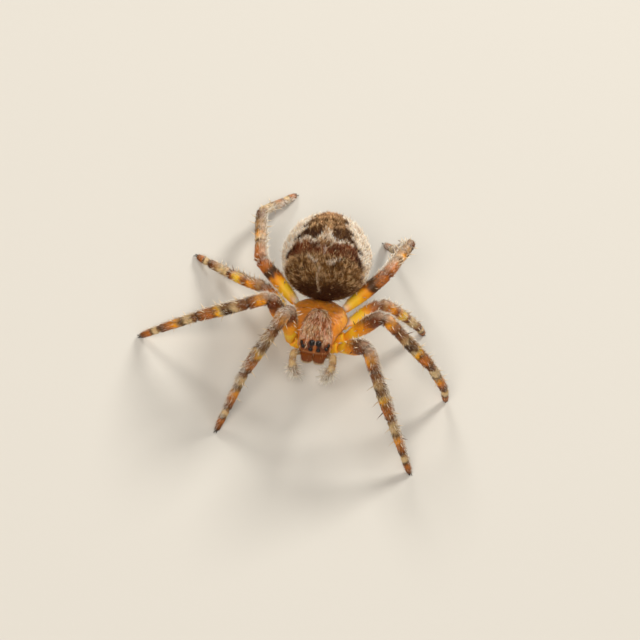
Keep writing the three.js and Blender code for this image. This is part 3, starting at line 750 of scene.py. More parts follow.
def abdomen_marking(turn, around, points, ink):
    """The abdomen's colours. A leaf marking with a toothed dark edge lies on the back, with two
    umber blotches, a russet band and wavy pale bands; the flanks are cream, the front face
    is dark, and the belly has a dark band between two pale commas."""
    # t is the turn and a the angle from the middle line, in degrees, with uneven lines.
    t = (np.degrees(turn) + 2.4 * (mottle(points, 0.22, 11) - 0.5)
         + 3 * (mottle(points, 0.6, 12) - 0.5))
    signed = from_midline(turn, around)
    a = np.abs(signed + 4 * (mottle(points, 0.3, 13) - 0.5) + 3 * (mottle(points, 0.11, 14) - 0.5))
    tooth = np.mod((88 - 7 * smooth(signed / 20 + 0.5) - t) / 20, 1)
    edge = np.interp(t, *LEAF_OUTLINE.T) + 12 * tooth ** 1.5
    midline = np.degrees(np.sin(turn) * np.abs(np.sin(np.radians(signed))))
    rear = smooth((t - 132) / 10)
    tail = 13 + 5 * tooth + 4 * (mottle(points, 0.3, 20) - 0.5) - midline
    inside = np.maximum(edge - a, tail * rear - 30 * (1 - rear))
    fine, broad = mottle(points, 0.1, 15), mottle(points, 0.42, 16)
    dots = clumps(points, 0.15, 17, 0.56, 0.14)
    grit = clumps(points, 0.085, 18, 0.48, 0.12)
    specks = clumps(points, 0.075, 19, 0.56, 0.1)
    strands = clumps(points, 0.08, 25, 0.3, 0.2)
    ragged = 3.5 * (mottle(points, 0.13, 24) - 0.5)

    # Ground of the leaf: olive in front, fawn behind, dark bars across the rear.
    colour = over(plain(points, ink["fawn"]), ink["olive"], smooth((66 - t) / 8))
    dark = np.maximum(dots, 0.8 * grit)
    colour = over(colour, ink["umber"], 0.75 * dark * smooth((130 - t) / 10))
    colour = over(colour, pale_hair(ink), 0.6 * specks * smooth((t - 24) / 14))
    colour = over(colour, ink["pinkish"], 0.3 * smooth((t - 122) / 22) * (0.4 + 0.6 * fine))
    bars = smooth((np.cos(np.radians((t + 0.15 * a) * 26)) - 0.25) / 0.5)
    bars = bars * smooth((t - 113) / 6) * smooth((midline - 2) / 3)
    colour = over(colour, ink["umber"], 0.6 * bars)
    # Russet band, darker in patches.
    red = pulse(t, 77, 6.5, 4) * smooth((inside + 3) / 8)
    colour = over(colour, ink["russet"], red * (0.88 + 0.12 * broad) * (1 - 0.3 * specks))
    patches = 0.6 * smooth((0.5 - broad) / 0.1) * smooth((t - 70) / 3)
    patches = np.maximum(0.5 * smooth((fine - 0.52) / 0.2), patches)
    colour = over(colour, ink["umber"], red * patches)
    # Two wavy pale bands, the rear one over a pale core in its hump.
    crest = 87.5 + 13 * bell(a, 8) + 2.4 * np.cos(np.radians(a * 13)) + ragged
    core = pulse(midline, 0, 8, 5) * smooth((crest - t) / 2) * smooth((t - 76) / 6)
    colour = over(colour, ink["fawn"], 0.75 * core)
    colour = over(colour, ink["cream"], 0.65 * core * clumps(points, 0.11, 26, 0.5, 0.08))
    colour = over(colour, ink["umber"], 0.9 * core * dots)
    upper = pulse(t, crest, 1.4, 2.2) * smooth((44 - a) / 8)
    colour = over(colour, ink["cream"], 0.95 * upper * strands)
    wave = 59 + 9 * (a / 45) ** 2 + 2.2 * np.cos(np.radians(a * 16)) + ragged
    lower = pulse(t, wave, 1, 2.2) * pulse(a, 16, 5, 7) * clumps(points, 0.3, 27, 0.3, 0.16)
    colour = over(colour, ink["cream"], 0.75 * lower * strands)
    # Two umber blotches, a pale streak before them, and the rim of the leaf's teeth.
    blotch = smooth((t - crest - 1.5) / 2) * smooth((112 - 0.2 * a + ragged - t) / 3)
    blotch = blotch * smooth((a - 4.5 + ragged) / 3) * smooth((inside + 1) / 3)
    colour = over(colour, ink["umber"], blotch * (1 - 0.12 * specks))
    colour = over(colour, ink["olive"], 0.35 * blotch * clumps(points, 0.16, 28, 0.56, 0.12))
    streak = pulse(midline, 0, 0.6, 1.0) * pulse(t, 73, 4, 3)
    colour = over(colour, ink["cream"], 0.85 * streak * (0.4 + 0.6 * strands))
    rim = smooth((2 + 6 * tooth - np.abs(inside - 3)) / 2) * smooth((t - 62) / 4)
    colour = over(colour, 0.7 * ink["umber"], rim * (0.15 + 0.85 * tooth ** 1.5))

    # Flanks, with a dark corner where the leaf is widest.
    dark = np.maximum(dots, 0.5 * grit)
    flank = over(plain(points, ink["cream"]), ink["fawn"], 0.6 * dark)
    flank = over(flank, ink["fawn"], 0.35 * smooth((a - 85) / 25) * (0.4 + 0.6 * broad))
    fade = 2.2 + 26 * smooth((74 - t) / 14)
    outside = smooth(0.5 - inside / fade - 1.1 / fade)
    colour = over(colour, flank, outside * smooth((t - 50) / 16))
    corner = 73.5 + 4 * smooth(0.5 - signed / 20) - 0.37 * (a - 44)
    corner = pulse(t, corner, 1.5, 1.5) * pulse(a, 54, 7, 4)
    colour = over(colour, 0.6 * ink["umber"], 0.95 * corner)
    # Dark front face with a pale streak.
    face = smooth((33 + 0.14 * np.minimum(a, 100) - t + 10 * (broad - 0.5)) / 20)
    face = face * smooth((125 - a) / 20)
    colour = over(colour, ink["sable"], face * (1 - 0.25 * specks))
    streak = pulse(midline, 0, 0.7, 1.0) * pulse(t, 28, 20, 6) * smooth((t - 4) / 12)
    pale = (pale_hair(ink) + ink["cream"]) / 2
    colour = over(colour, pale, 0.7 * streak * (0.45 + 0.55 * strands))
    below = smooth((a - 100 + 30 * (broad - 0.5)) / 36) * (1 - rear * smooth(tail / 3))
    return over(colour, belly_marking(t, points, dots, ink), below)


# Half widths of the dark bridges from the rear eyes to the front ones.
EYE_BRIDGES = {"median": 0.15, "lateral": 0.14}


def eye_rims(colour, points, ink):
    """Black round every eye, with dark bridges that join the rear eyes to the front ones."""
    mirrored = np.concatenate([np.abs(points[..., :1]), points[..., 1:]], axis=-1)
    for row, half_width in EYE_BRIDGES.items():
        rear, _ = carapace_place(*EYES[f"posterior_{row}"][:2])
        front, _ = carapace_place(*EYES[f"anterior_{row}"][:2])
        step = front - rear
        share = np.clip((mirrored - rear) @ step / (step @ step), 0, 1)
        distance = np.linalg.norm(mirrored - rear - share[..., None] * step, axis=-1)
        colour = over(colour, ink["black"], 0.85 * smooth((half_width - distance) / 0.06))
    for eye_x, eye_y, radius in EYES.values():
        place, _ = carapace_place(eye_x, eye_y)
        distance = np.linalg.norm(mirrored - place, axis=-1) / radius
        colour = over(colour, ink["black"], 0.97 * smooth((1.4 - distance) / 0.25))
    return colour


def carapace_marking(points, up, ink):
    """The carapace's colours: an amber thorax with honey sides, a garnet fovea and furrows, a
    chestnut head, dark eye rims, a painted highlight between the rear median eyes, a brown edge
    and a pale line over the jaws."""
    x, y, height = np.moveaxis(points, -1, 0)
    across = np.abs(x)
    fine, broad = mottle(points, 0.09, 21), mottle(points, 0.4, 22)
    reach, course = round_fovea(points)
    side = smooth((across - 0.75 - 0.3 * broad) / 0.5)
    colour = over(plain(points, ink["amber"]), ink["honey"], side)
    gap = groove_distance(x, y)
    head = smooth(-(gap + 0.05 * (fine - 0.5)) / 0.25)
    colour = over(colour, ink["orange"], 0.4 * bell(gap, 0.22) * smooth((1.5 - reach) / 0.4))
    colour = over(colour, ink["chestnut"], 0.85 * head)
    colour = over(colour, ink["garnet"], 0.9 * bell(x, 0.17) * bell(y - FOVEA[1], 0.15))
    colour = over(colour, ink["garnet"], 0.35 * bell(gap, 0.07))
    for aim in FURROW_COURSES:
        line = furrow_line(reach, course, aim, 0.09)
        colour = over(colour, ink["orange"], 0.25 * line * smooth((reach - 0.2) / 0.3))
    ground = bell(y + 1.6, 0.2) * smooth((0.9 - across) / 0.2)
    colour = over(colour, ink["garnet"], 0.85 * ground)
    colour = over(colour, ink["umber"], 0.5 * ground * smooth((broad - 0.3) / 0.3))
    ridge = pulse(across, 0, 0.05, 0.04) * smooth((-1.55 - y) / 0.05)
    colour = over(colour, ink["orange"], 0.6 * ridge)
    # A thin cream line between the rear median eyes: a painted highlight.
    streak = pulse(across, 0, 0.015, 0.025) * pulse(y, -1.47, 0.06, 0.05)
    colour = over(colour, ink["cream"], 0.5 * streak)
    colour = eye_rims(colour, points, ink)
    colour = over(colour, ink["rust"], 0.75 * smooth((0.22 - up) / 0.2))
    face = smooth((-1.6 - y) / 0.08)
    colour = over(colour, ink["jaw"], face * smooth((0.3 - height) / 0.05))
    colour = over(colour, ink["tan"], 0.4 * face * pulse(height, 0.3, 0.012, 0.03))
    return colour * (0.9 + 0.2 * fine)[..., None]


# Rings of colour on each leg segment: place along the segment, then colour.
FRONT_RINGS = {
    "coxa": ((0, "gold"), (0.4, "yellow"), (0.66, "gold"), (0.75, "yellow"), (1, "gold")),
    "femur": ((0.05, "gold"), (0.3, "yellow"), (0.44, "gold"), (0.6, "gold"),
              (0.7, "orange"), (0.8, "rust"), (0.9, "garnet"), (0.97, "rust")),
    "patella": ((0, "bark"), (0.14, "rust"), (0.26, "gold"), (0.46, "gold"),
                (0.6, "orange"), (0.84, "rust"), (0.95, "bark")),
    "tibia": ((0.02, "rust"), (0.1, "rust"), (0.18, "tan"), (0.26, "straw"), (0.33, "bark"),
              (0.43, "bark"), (0.5, "straw"), (0.55, "yellow"), (0.61, "gold"),
              (0.66, "bark"), (0.71, "orange"), (0.86, "orange"), (0.97, "bark")),
    "metatarsus": ((0.03, "rust"), (0.12, "straw"), (0.3, "straw"), (0.37, "bark"),
                   (0.45, "tan"), (0.57, "gold"), (0.7, "orange"), (0.88, "rust"),
                   (0.97, "bark")),
    "tarsus": ((0.03, "tan"), (0.08, "straw"), (0.26, "straw"), (0.38, "bark"),
               (0.5, "orange"), (0.85, "rust"), (1, "black")),
}
THIRD_RINGS = {
    **FRONT_RINGS,
    "femur": ((0.05, "gold"), (0.15, "yellow"), (0.5, "yellow"), (0.66, "gold"),
              (0.8, "orange"), (0.97, "rust")),
    "patella": ((0, "rust"), (0.2, "tan"), (0.45, "orange"), (0.75, "gold"), (0.97, "gold")),
    "tibia": ((0.03, "gold"), (0.12, "orange"), (0.24, "rust"), (0.36, "gold"),
              (0.48, "yellow"), (0.66, "yellow"), (0.78, "orange"), (0.9, "rust"),
              (0.97, "bark")),
    "metatarsus": ((0.03, "tan"), (0.1, "straw"), (0.4, "straw"), (0.58, "tan"),
                   (0.76, "rust"), (0.95, "bark")),
}
REAR_RINGS = {
    **FRONT_RINGS,
    "femur": ((0.05, "gold"), (0.15, "yellow"), (0.34, "yellow"), (0.5, "gold"),
              (0.6, "orange"), (0.66, "bark"), (0.74, "bark"), (0.83, "orange"),
              (0.92, "orange"), (0.97, "garnet")),
    "patella": ((0, "rust"), (0.2, "orange"), (0.5, "orange"), (0.8, "tan"), (0.97, "bark")),
    "tibia": ((0.03, "tan"), (0.1, "straw"), (0.24, "gold"), (0.36, "bark"), (0.46, "tan"),
              (0.6, "tan"), (0.7, "bark"), (0.86, "rust"), (0.97, "bark")),
    "metatarsus": ((0.03, "tan"), (0.1, "straw"), (0.34, "straw"), (0.46, "bark"),
                   (0.58, "tan"), (0.76, "orange"), (0.95, "bark")),
}
RINGS = {1: FRONT_RINGS, 2: FRONT_RINGS, 3: THIRD_RINGS, 4: REAR_RINGS}
FRONT_PAIRS = (1, 2)

# How dusky the top of a front leg and of a rear leg is: joints passed, share.
FRONT_DUSK = np.array([
    [1.35, 0], [1.65, 0.75], [1.9, 0.7], [2.4, 0.6], [3.1, 0.5], [3.4, 0.65], [4, 0.4], [6, 0.1],
])
REAR_DUSK = np.array([
    [1.55, 0], [1.8, 0.25], [2.3, 0.62], [3, 0.7], [4, 0.55], [5, 0.35], [6, 0.1],
])
# How far the dusk leans from the top to the rear side, in degrees.
DUSK_LEAN = 56


def leg_dusk(front, stations, points, ink):
    """The dusky colour: fawn and cream with umber patches, paler at the knees of the front
    legs and darker at the end of the femur."""
    knee = bell(stations - 2.12, 0.26) if front else 1
    dusk = over(plain(points, ink["fawn"]), ink["cream"], 0.32 * knee)
    dusk = over(dusk, ink["umber"], (0.65 - 0.3 * knee) * clumps(points, 0.12, 34, 0.4, 0.2))
    return over(dusk, ink["umber"], 0.65 * bell(stations - 1.7, 0.18))


def leg_marking(number, side_name, stations, around, points, ink):
    """Rings of colour along a leg, mixed from each to the next, with ragged edges. The top of
    the leg and its rear side are dusky, most of all on the two front pairs. The rear pairs
    have a pale patch where the femur begins."""
    front, rings = number in FRONT_PAIRS, RINGS[number]
    places = [k + at for k, name in enumerate(SEGMENTS) for at, _ in rings[name]]
    colours = np.array([ink[tone] for name in SEGMENTS for _, tone in rings[name]])
    ragged = (stations + 0.13 * (mottle(points, 0.2, 31) - 0.5)
              + 0.07 * (mottle(points, 0.07, 32) - 0.5))
    mixed = np.stack([np.interp(ragged, places, colours[:, k]) for k in range(3)], axis=-1)
    hairy = smooth((stations - (1.4 if front else 2)) / 0.4)
    mixed = over(mixed, ink["bark"], 0.45 * clumps(points, 0.09, 33, 0.62, 0.12) * hairy)
    facing = np.cos(around - np.radians(90 + DUSK_LEAN * SIDES[side_name]))
    share = np.interp(stations, *(FRONT_DUSK if front else REAR_DUSK).T)
    dusk = leg_dusk(front, stations, points, ink)
    mixed = over(mixed, dusk, smooth((facing + 0.15) / 0.6) * share)
    if front:
        return mixed
    patch = bell(stations - 1, 0.12) * smooth((np.sin(around) - 0.3) / 0.4)
    return over(mixed, ink["cream"], 0.95 * patch)


# Brown rings of the palps: place, half width, softness, cover.
PALP_RINGS = ((0.57, 0.02, 0.05, 0.5), (0.77, 0.015, 0.04, 0.55), (0.9, 0.02, 0.05, 0.5))


def palp_marking(share, points, ink):
    """Straw with three faint brown rings and a darker tip."""
    ragged = share + 0.04 * (mottle(points, 0.1, 41) - 0.5)
    colour = over(plain(points, ink["straw"]), ink["tan"], 0.5 * mottle(points, 0.2, 42))
    for place, half, soft, cover in PALP_RINGS:
        colour = over(colour, ink["rust"], cover * pulse(ragged, place, half, soft))
    return over(colour, ink["bark"], 0.2 * smooth((ragged - 0.95) / 0.04))


# ------------------------------------------------------------------ hair

HAIR_SIDES = 3
# Size of a hair's patch on the map.
PATCH = 0.003
# Where a hair bends over, as a share of its length, and its radius there as a share of the root's.
HAIR_BEND = 0.5
HAIR_WAIST = 0.72


def hair_patches():
    """The patches of one hair's quads and of its triangles, on a square of the size 1: the
    cap is at the bottom and the tip at the top."""
    left = np.arange(HAIR_SIDES) / HAIR_SIDES
    right = (np.arange(HAIR_SIDES) + 1) / HAIR_SIDES
    low, middle, high = 0.2, 0.6, 1
    sides = map_corners((left, low), (right, low), (right, middle), (left, middle))
    fan = map_corners((left, middle), (right, middle), ((left + right) / 2, high))
    cap = np.array([[[0, 0], [1, 0], [0.5, 0.18]]])
    return sides, np.concatenate([fan, cap])


def hair_part(roots, stands, leans, lengths, radii, colours, tips, uvs):
    """Hairs as closed spikes of three sides: a ring at the root, a ring half way along the
    standing direction, then a point that leans over. Root and tip colours are given."""
    count = len(roots)
    across = unit(np.cross(stands, leans) + 1e-9)
    other = np.cross(stands, across)
    middle = roots + stands * (lengths * HAIR_BEND)[:, None]
    tip = middle + unit(stands + leans) * (lengths * (1 - HAIR_BEND))[:, None]
    angle = (2 * np.pi * np.arange(HAIR_SIDES) / HAIR_SIDES)[None, :, None]
    ring = np.cos(angle) * across[:, None] + np.sin(angle) * other[:, None]
    base = roots[:, None] + ring * radii[:, None, None]
    waist = middle[:, None] + ring * HAIR_WAIST * radii[:, None, None]
    points = np.concatenate([base, waist, tip[:, None]], axis=1).reshape(-1, 3)
    size = 2 * HAIR_SIDES + 1
    low = np.arange(HAIR_SIDES)
    low_beside = (low + 1) % HAIR_SIDES
    high, high_beside = low + HAIR_SIDES, low_beside + HAIR_SIDES
    one_quad = np.stack([low, low_beside, high_beside, high], axis=-1)
    one_fan = np.stack([high, high_beside, np.full(HAIR_SIDES, size - 1)], axis=-1)
    one_cap = low[::-1][None]
    offsets = (np.arange(count) * size)[:, None, None]
    quads = (one_quad[None] + offsets).reshape(-1, 4)
    triangles = (np.concatenate([one_fan, one_cap])[None] + offsets).reshape(-1, 3)
    quad_patch, triangle_patch = hair_patches()
    corner = uvs[:, None, None]
    quad_uvs = (corner + PATCH * quad_patch[None]).reshape(-1, 4, 2)
    triangle_uvs = (corner + PATCH * triangle_patch[None]).reshape(-1, 3, 2)
    shades = np.concatenate([
        np.repeat(colours[:, None], HAIR_SIDES, axis=1),
        np.repeat((colours + tips)[:, None] / 2, HAIR_SIDES, axis=1),
        tips[:, None],
    ], axis=1).reshape(-1, 3)
    return Part(points, quads, triangles, quad_uvs, triangle_uvs, shades, 0)


Roots = namedtuple("Roots", "row column points along normals")


def scatter(grid, count, density, random):
    """Roots spread over a closed grid by area times density, with the surface's lengthwise
    direction and outward normal at each."""
    columns = grid.shape[1]
    wide = np.concatenate([grid, grid[:, :2]], axis=1)
    along = wide[1:, :-2] - wide[:-1, :-2]
    around = wide[:-1, 1:-1] - wide[:-1, :-2]
    area = np.linalg.norm(np.cross(along, around), axis=-1)
    weight = area * density[:-1]
    chosen = random.choice(weight.size, size=count, p=weight.ravel() / weight.sum())
    i, j = np.divmod(chosen, columns)
    s, t = random.random((2, count))
    corners = [wide[i, j], wide[i, j + 1], wide[i + 1, j], wide[i + 1, j + 1]]
    shares = [(1 - s) * (1 - t), (1 - s) * t, s * (1 - t), s * t]
    points = sum(corner * share[:, None] for corner, share in zip(corners, shares))
    lengthwise = unit(corners[2] - corners[0])
    normals = unit(np.cross(lengthwise, corners[1] - corners[0]))
    ring_middle = grid.mean(axis=1)[i]
    normals *= np.sign(np.einsum("ij,ij->i", normals, points - ring_middle))[:, None]
    return Roots(i + s, j + t, points, lengthwise, normals)


def turned(vectors, axes, angles):
    """Vectors turned about axes at right angles to them."""
    return vectors * np.cos(angles)[:, None] + np.cross(axes, vectors) * np.sin(angles)[:, None]


def coat_part(roots, lie, lift, lengths, radii, colours, tips, uvs, random):
    """Hairs that lie along a direction on the surface, raised by the lift angles in degrees."""
    lie = unit(lie - roots.normals * np.einsum("ij,ij->i", lie, roots.normals)[:, None])
    angle = np.radians(lift)[:, None]
    stands = unit(lie * np.cos(angle) + roots.normals * np.sin(angle))
    leans = unit(lie - 0.25 * roots.normals + 0.25 * random.normal(size=lie.shape))
    start = roots.points - roots.normals * ROOT_DEPTH
    return hair_part(start, stands, leans, lengths, radii, colours, tips, uvs)


def grid_uvs(roots, grid, place=(0, 0, 1, 1)):
    """The roots' places on the map of the surface they grow on."""
    rows, columns = grid.shape[:2]
    x0, y0, x1, y1 = place
    u = x0 + (x1 - x0 - PATCH) * roots.column / columns
    v = y0 + (y1 - y0 - PATCH) * (roots.row + 1) / (rows + 1)
    return np.stack([u, v], axis=-1)


# ------------------------------------------------------------------ materials


def add_node(tree, kind, inputs=(), **settings):
    """A shader node with its settings. An input is given a value, or linked from an output."""
    made = tree.nodes.new("ShaderNode" + kind)
    for name, value in settings.items():
        setattr(made, name, value)
    for socket, value in dict(inputs).items():
        target = made.inputs[socket]
        if isinstance(value, bpy.types.NodeSocket):
            tree.links.new(value, target)
        else:
            target.default_value = value
    return made


def per_metre(size):
    """A noise scale whose features are about this many millimetres across."""
    return 1 / (size * MM)


# Blender's noise lies mostly between these two values.
NOISE_SPREAD = {"From Min": 0.3, "From Max": 0.7}


def chitin(name, grain, speckle, rough, bump=0, **shader):
    """The shell and skin of an arthropod: the tint attribute, broken by a fine speckle, under
    a surface whose gloss and height vary with grains of the given size in millimetres."""
    material = bpy.data.materials.new(name)
    material.use_nodes = True
    tree = material.node_tree
    tree.nodes.clear()
    place = add_node(tree, "TexCoord").outputs["Object"]
    tint = add_node(tree, "Attribute", attribute_name="tint").outputs["Color"]
    coarse = add_node(tree, "TexNoise", {
        "Vector": place, "Scale": per_metre(grain), "Detail": 3.0}).outputs["Fac"]
    fine = add_node(tree, "TexNoise", {
        "Vector": place, "Scale": per_metre(grain / 4), "Detail": 2.0}).outputs["Fac"]
    shade = add_node(tree, "MapRange", {
        "Value": fine, **NOISE_SPREAD, "To Min": 1 - speckle, "To Max": 1 + speckle})
    colour = add_node(tree, "VectorMath", {
        "Vector": tint, "Scale": shade.outputs["Result"]}, operation="SCALE")
    gloss = add_node(tree, "MapRange", {
        "Value": coarse, **NOISE_SPREAD, "To Min": rough[0], "To Max": rough[1]})
    inputs = {socket.replace("_", " "): value for socket, value in shader.items()}
    if bump:
        height = add_node(tree, "Math", {0: coarse, 1: fine}, operation="ADD")
        raised = add_node(tree, "Bump", {
            "Height": height.outputs[0], "Distance": bump * MM, "Strength": 1.0})
        inputs["Normal"] = raised.outputs["Normal"]
    principled = add_node(tree, "BsdfPrincipled", {
        "Base Color": colour.outputs["Vector"], "Roughness": gloss.outputs["Result"], **inputs})
    add_node(tree, "OutputMaterial", {"Surface": principled.outputs["BSDF"]})
    return material


# Shares of the scale that red, green and blue light spread in amber and in brown chitin.
AMBER_SCATTER = (1.0, 0.6, 0.25)
BROWN_SCATTER = (1.0, 0.5, 0.3)


def amber_shell():
    """Hard, thin, clear shell of the carapace: a soft gloss, and light spreads some way in it."""
    return chitin(
        "amber_carapace_chitin", grain=0.12, speckle=0.1, rough=(0.4, 0.58), bump=0.006,
        IOR=1.5, Specular_IOR_Level=0.35, Subsurface_Weight=0.35,
        Subsurface_Radius=AMBER_SCATTER, Subsurface_Scale=0.25 * MM)


def leg_shell():
    """Thin shell of the legs and palps: clearer than the back, a little glossier."""
    return chitin(
        "leg_chitin", grain=0.1, speckle=0.12, rough=(0.34, 0.5), bump=0.006,
        IOR=1.42, Specular_IOR_Level=0.35, Subsurface_Weight=0.35,
        Subsurface_Radius=AMBER_SCATTER, Subsurface_Scale=0.2 * MM)


def jaw_shell():
    """Thick dark shell of the jaws, fangs and mouth plates: smooth, with a low gloss."""
    return chitin(
        "jaw_chitin", grain=0.1, speckle=0.1, rough=(0.36, 0.48), bump=0.004,
        IOR=1.5, Specular_IOR_Level=0.2, Subsurface_Weight=0.2,
        Subsurface_Radius=AMBER_SCATTER, Subsurface_Scale=0.15 * MM)


def soft_hide():
    """Soft, finely folded skin of the abdomen: matt, with little light going in."""
    return chitin(
        "abdomen_hide", grain=0.07, speckle=0.14, rough=(0.55, 0.78), bump=0.012,
        IOR=1.45, Specular_IOR_Level=0.25, Subsurface_Weight=0.15,
        Subsurface_Radius=BROWN_SCATTER, Subsurface_Scale=0.15 * MM)


def eye_lens():
    """Clear lens over black pigment: a wet, mirror-smooth black."""
    return chitin("eye_lens_chitin", grain=0.05, speckle=0.05, rough=(0.04, 0.08), IOR=1.45)


def claw_shell():
    """Solid black chitin of the claws: hard, with a clear gloss."""
    return chitin(
        "claw_chitin", grain=0.05, speckle=0.1, rough=(0.2, 0.3), bump=0.001, IOR=1.56)


def fine_hair():
    """Fine hairs of thin hollow chitin: a soft, weak shine."""
    return chitin(
        "hair_chitin", grain=0.03, speckle=0.08, rough=(0.5, 0.62),
        IOR=1.4, Specular_IOR_Level=0.2)


def spine_shell():
    """Stiff hollow spines: glossier than the hairs."""
    return chitin("spine_chitin", grain=0.04, speckle=0.1, rough=(0.28, 0.4), IOR=1.56)


# ------------------------------------------------------------------ pieces

LEG_COLUMNS = 22
PALP_COLUMNS = 20
LEG_NAMES = [(number, side) for number in (1, 2, 3, 4) for side in SIDES]

# Room beside a part's rectangle on the map.
MARGIN = 0.002
# The skin's map: the abdomen on top, a band of the legs, and a band of the small parts.
ABDOMEN_PLACE = (0.004, 0.5, 0.996, 0.996)
LEGS_BAND = (0.1, 0.5)
SMALL_BAND = (0, 0.1)

# Places along a palp where its joints draw in.
PALP_JOINTS = (0.2, 0.4, 0.58, 0.77)

# Plates under the body: centre, half size.
LIP = ((0, -1.22, -0.76), (0.2, 0.16, 0.1))
CHEWING_PLATE = ((0.3, -1.34, -0.8), (0.19, 0.27, 0.12))
EGG_PLATE_HALF = (0.34, 0.2, 0.11)

# Spinning cones and the anal cone: place sideways and to the rear, width, share of the length.
SPINNING_CONES = (
    (-0.19, -0.19, 1, 1), (-0.19, 0.17, 1, 0.92), (0.19, -0.19, 1, 1), (0.19, 0.17, 1, 0.92),
    (-0.07, 0, 0.5, 0.75), (0.07, 0, 0.5, 0.75), (0, 0.4, 0.8, 0.55),
)

# Claws of a foot: place sideways, length. They bend down by this angle, in degrees.
CLAWS = ((-0.05, 0.2), (0.05, 0.2), (0, 0.11))
CLAW_BEND = 110


def leg_surface(number, side):
    """A leg's limb, and its grid kept over the floor."""
    limb = leg_limb(number, side)
    grid = limb_grid(limb, LEG_COLUMNS)
    grid[..., 2] = np.maximum(grid[..., 2], SKIN_HEIGHT)
    return limb, grid


def round_tip(share, start, length):
    """Share of the radius along a piece: whole up to a start, then a quarter circle that
    closes it over a length, apart from a small end ring."""
    past = np.clip((share - start) / length, 0, 1)
    return np.sqrt(np.clip(1 - past ** 2, 0.02, 1))


def palp_limb(side):
    """A palp as a limb along its spline, drawn in at its joints and rounded at its tip."""
    share = np.linspace(0, 1, 90)
    stations = along_spline(PALP_STATIONS * (side, 1, 1, 1), share)
    line, radii = to_standing(stations[:, :3]), stations[:, 3]
    for joint in PALP_JOINTS:
        lips = bell(np.abs(share - joint) - 0.035, 0.02)
        radii = radii * (1 - 0.16 * bell(share - joint, 0.012) + 0.05 * lips)
    radii = radii * round_tip(share, 0.93, 0.071)
    return Limb(line, *carried(line, (0, 0, 1)), radii, share)


def waist_grid():
    """The waist: a short tube, narrow in its middle, from the thorax into the abdomen."""
    share = np.linspace(0, 1, 24)[:, None]
    line = np.array([0, 1.1, -0.4]) * (1 - share) + np.array([0, 2.7, 0.1]) * share
    radii = 0.24 + 0.1 * (2 * share[:, 0] - 1) ** 2
    return tube(line, radii, columns=20)


def trunk_grid():
    """The soft side wall between the carapace and the sternum: a flattened egg."""
    turn, around = ellipsoid_turns(60, 48)
    half = np.array([1.02, 1.5, 0.42])
    wide = np.abs(np.sin(turn)) ** 0.8 * (1 - 0.16 * np.cos(turn))
    egg = np.stack([
        half[0] * wide * np.sin(around),
        -half[1] * np.cos(turn),
        half[2] * np.abs(np.sin(turn)) ** 0.7 * np.cos(around),
    ], axis=-1)
    return egg + (0, 0.02, -0.3)


def strip(number, count, low=0, high=1):
    """Rectangle of a numbered strip on the map between two heights, with a small margin."""
    step = (high - low) / count
    bottom = low + step * number
    return (2 * MARGIN, bottom + MARGIN, 1 - 2 * MARGIN, bottom + step - MARGIN)


def along_rings(values, grid):
    """A value for each ring of a grid, repeated round the ring."""
    return np.broadcast_to(np.asarray(values)[:, None], grid.shape[:2])


def build_skin(scene):
    """One skin over the abdomen, waist, trunk, legs and palps."""
    ink = inks(scene)
    grid, turn, around = abdomen_grid()
    marks = abdomen_marking(turn, around, grid, ink)
    parts = [closed_part(to_standing(grid), marks, 0, ABDOMEN_PLACE)]
    for k, (rings, tone) in enumerate(((trunk_grid(), "gold"), (waist_grid(), "rust"))):
        place = strip(k, 4, *SMALL_BAND)
        parts.append(closed_part(to_standing(rings), plain(rings, ink[tone]), 1, place))
    for k, side in enumerate(SIDES.values()):
        limb = palp_limb(side)
        rings = limb_grid(limb, PALP_COLUMNS)
        marks = palp_marking(along_rings(limb.stations, rings), rings, ink)
        parts.append(closed_part(rings, marks, 1, strip(2 + k, 4, *SMALL_BAND)))
    nodes = ["abdomen", "pedicel", "palp_right", "palp_left"]
    angles = np.linspace(0, 2 * np.pi, LEG_COLUMNS, endpoint=False)
    for k, (number, side) in enumerate(LEG_NAMES):
        limb, rings = leg_surface(number, side)
        stations = along_rings(limb.stations, rings)
        marks = leg_marking(number, side, stations, angles + 0 * stations, rings, ink)
        parts.append(closed_part(rings, marks, 1, strip(k, 8, *LEGS_BAND)))
        nodes += [f"leg_{number}_{side}_{segment}" for segment in SEGMENTS[1:]]
    add_piece("skin", parts, [soft_hide(), leg_shell()], nodes)


def build_carapace(scene):
    """The carapace as one thin hard shell."""
    grid, angle = carapace_grid()
    colours = carapace_marking(grid, np.sin(angle), inks(scene))
    part = closed_part(to_standing(grid), colours)
    add_piece("carapace_shell", [part], [amber_shell()], ["carapace"])


def plate_grid(centre, half, rows, columns, square=0.8):
    """A flat rounded plate: an ellipsoid whose outline is filled out by a power."""
    turn, around = ellipsoid_turns(rows, columns)
    full = np.abs(np.sin(turn)) ** square
    return np.stack([
        half[0] * full * np.sin(around), -half[1] * np.cos(turn), half[2] * full * np.cos(around),
    ], axis=-1) + centre


def sternum_grid():
    """The heart-shaped plate between the coxae, wide in front and pointed behind, with a
    shallow dent against each coxa."""
    turn, around = ellipsoid_turns(80, 72)
    taper = 1.06 - 0.62 * ((1 - np.cos(turn)) / 2) ** 1.5
    dents = 1 - 0.06 * np.cos(turn * 8) * np.abs(np.sin(around))
    return np.stack([
        0.62 * np.sin(turn) ** 0.6 * taper * dents * np.sin(around),
        0.1 - 1.22 * np.cos(turn),
        -0.7 + 0.18 * np.sin(turn) ** 0.6 * np.cos(around),
    ], axis=-1)


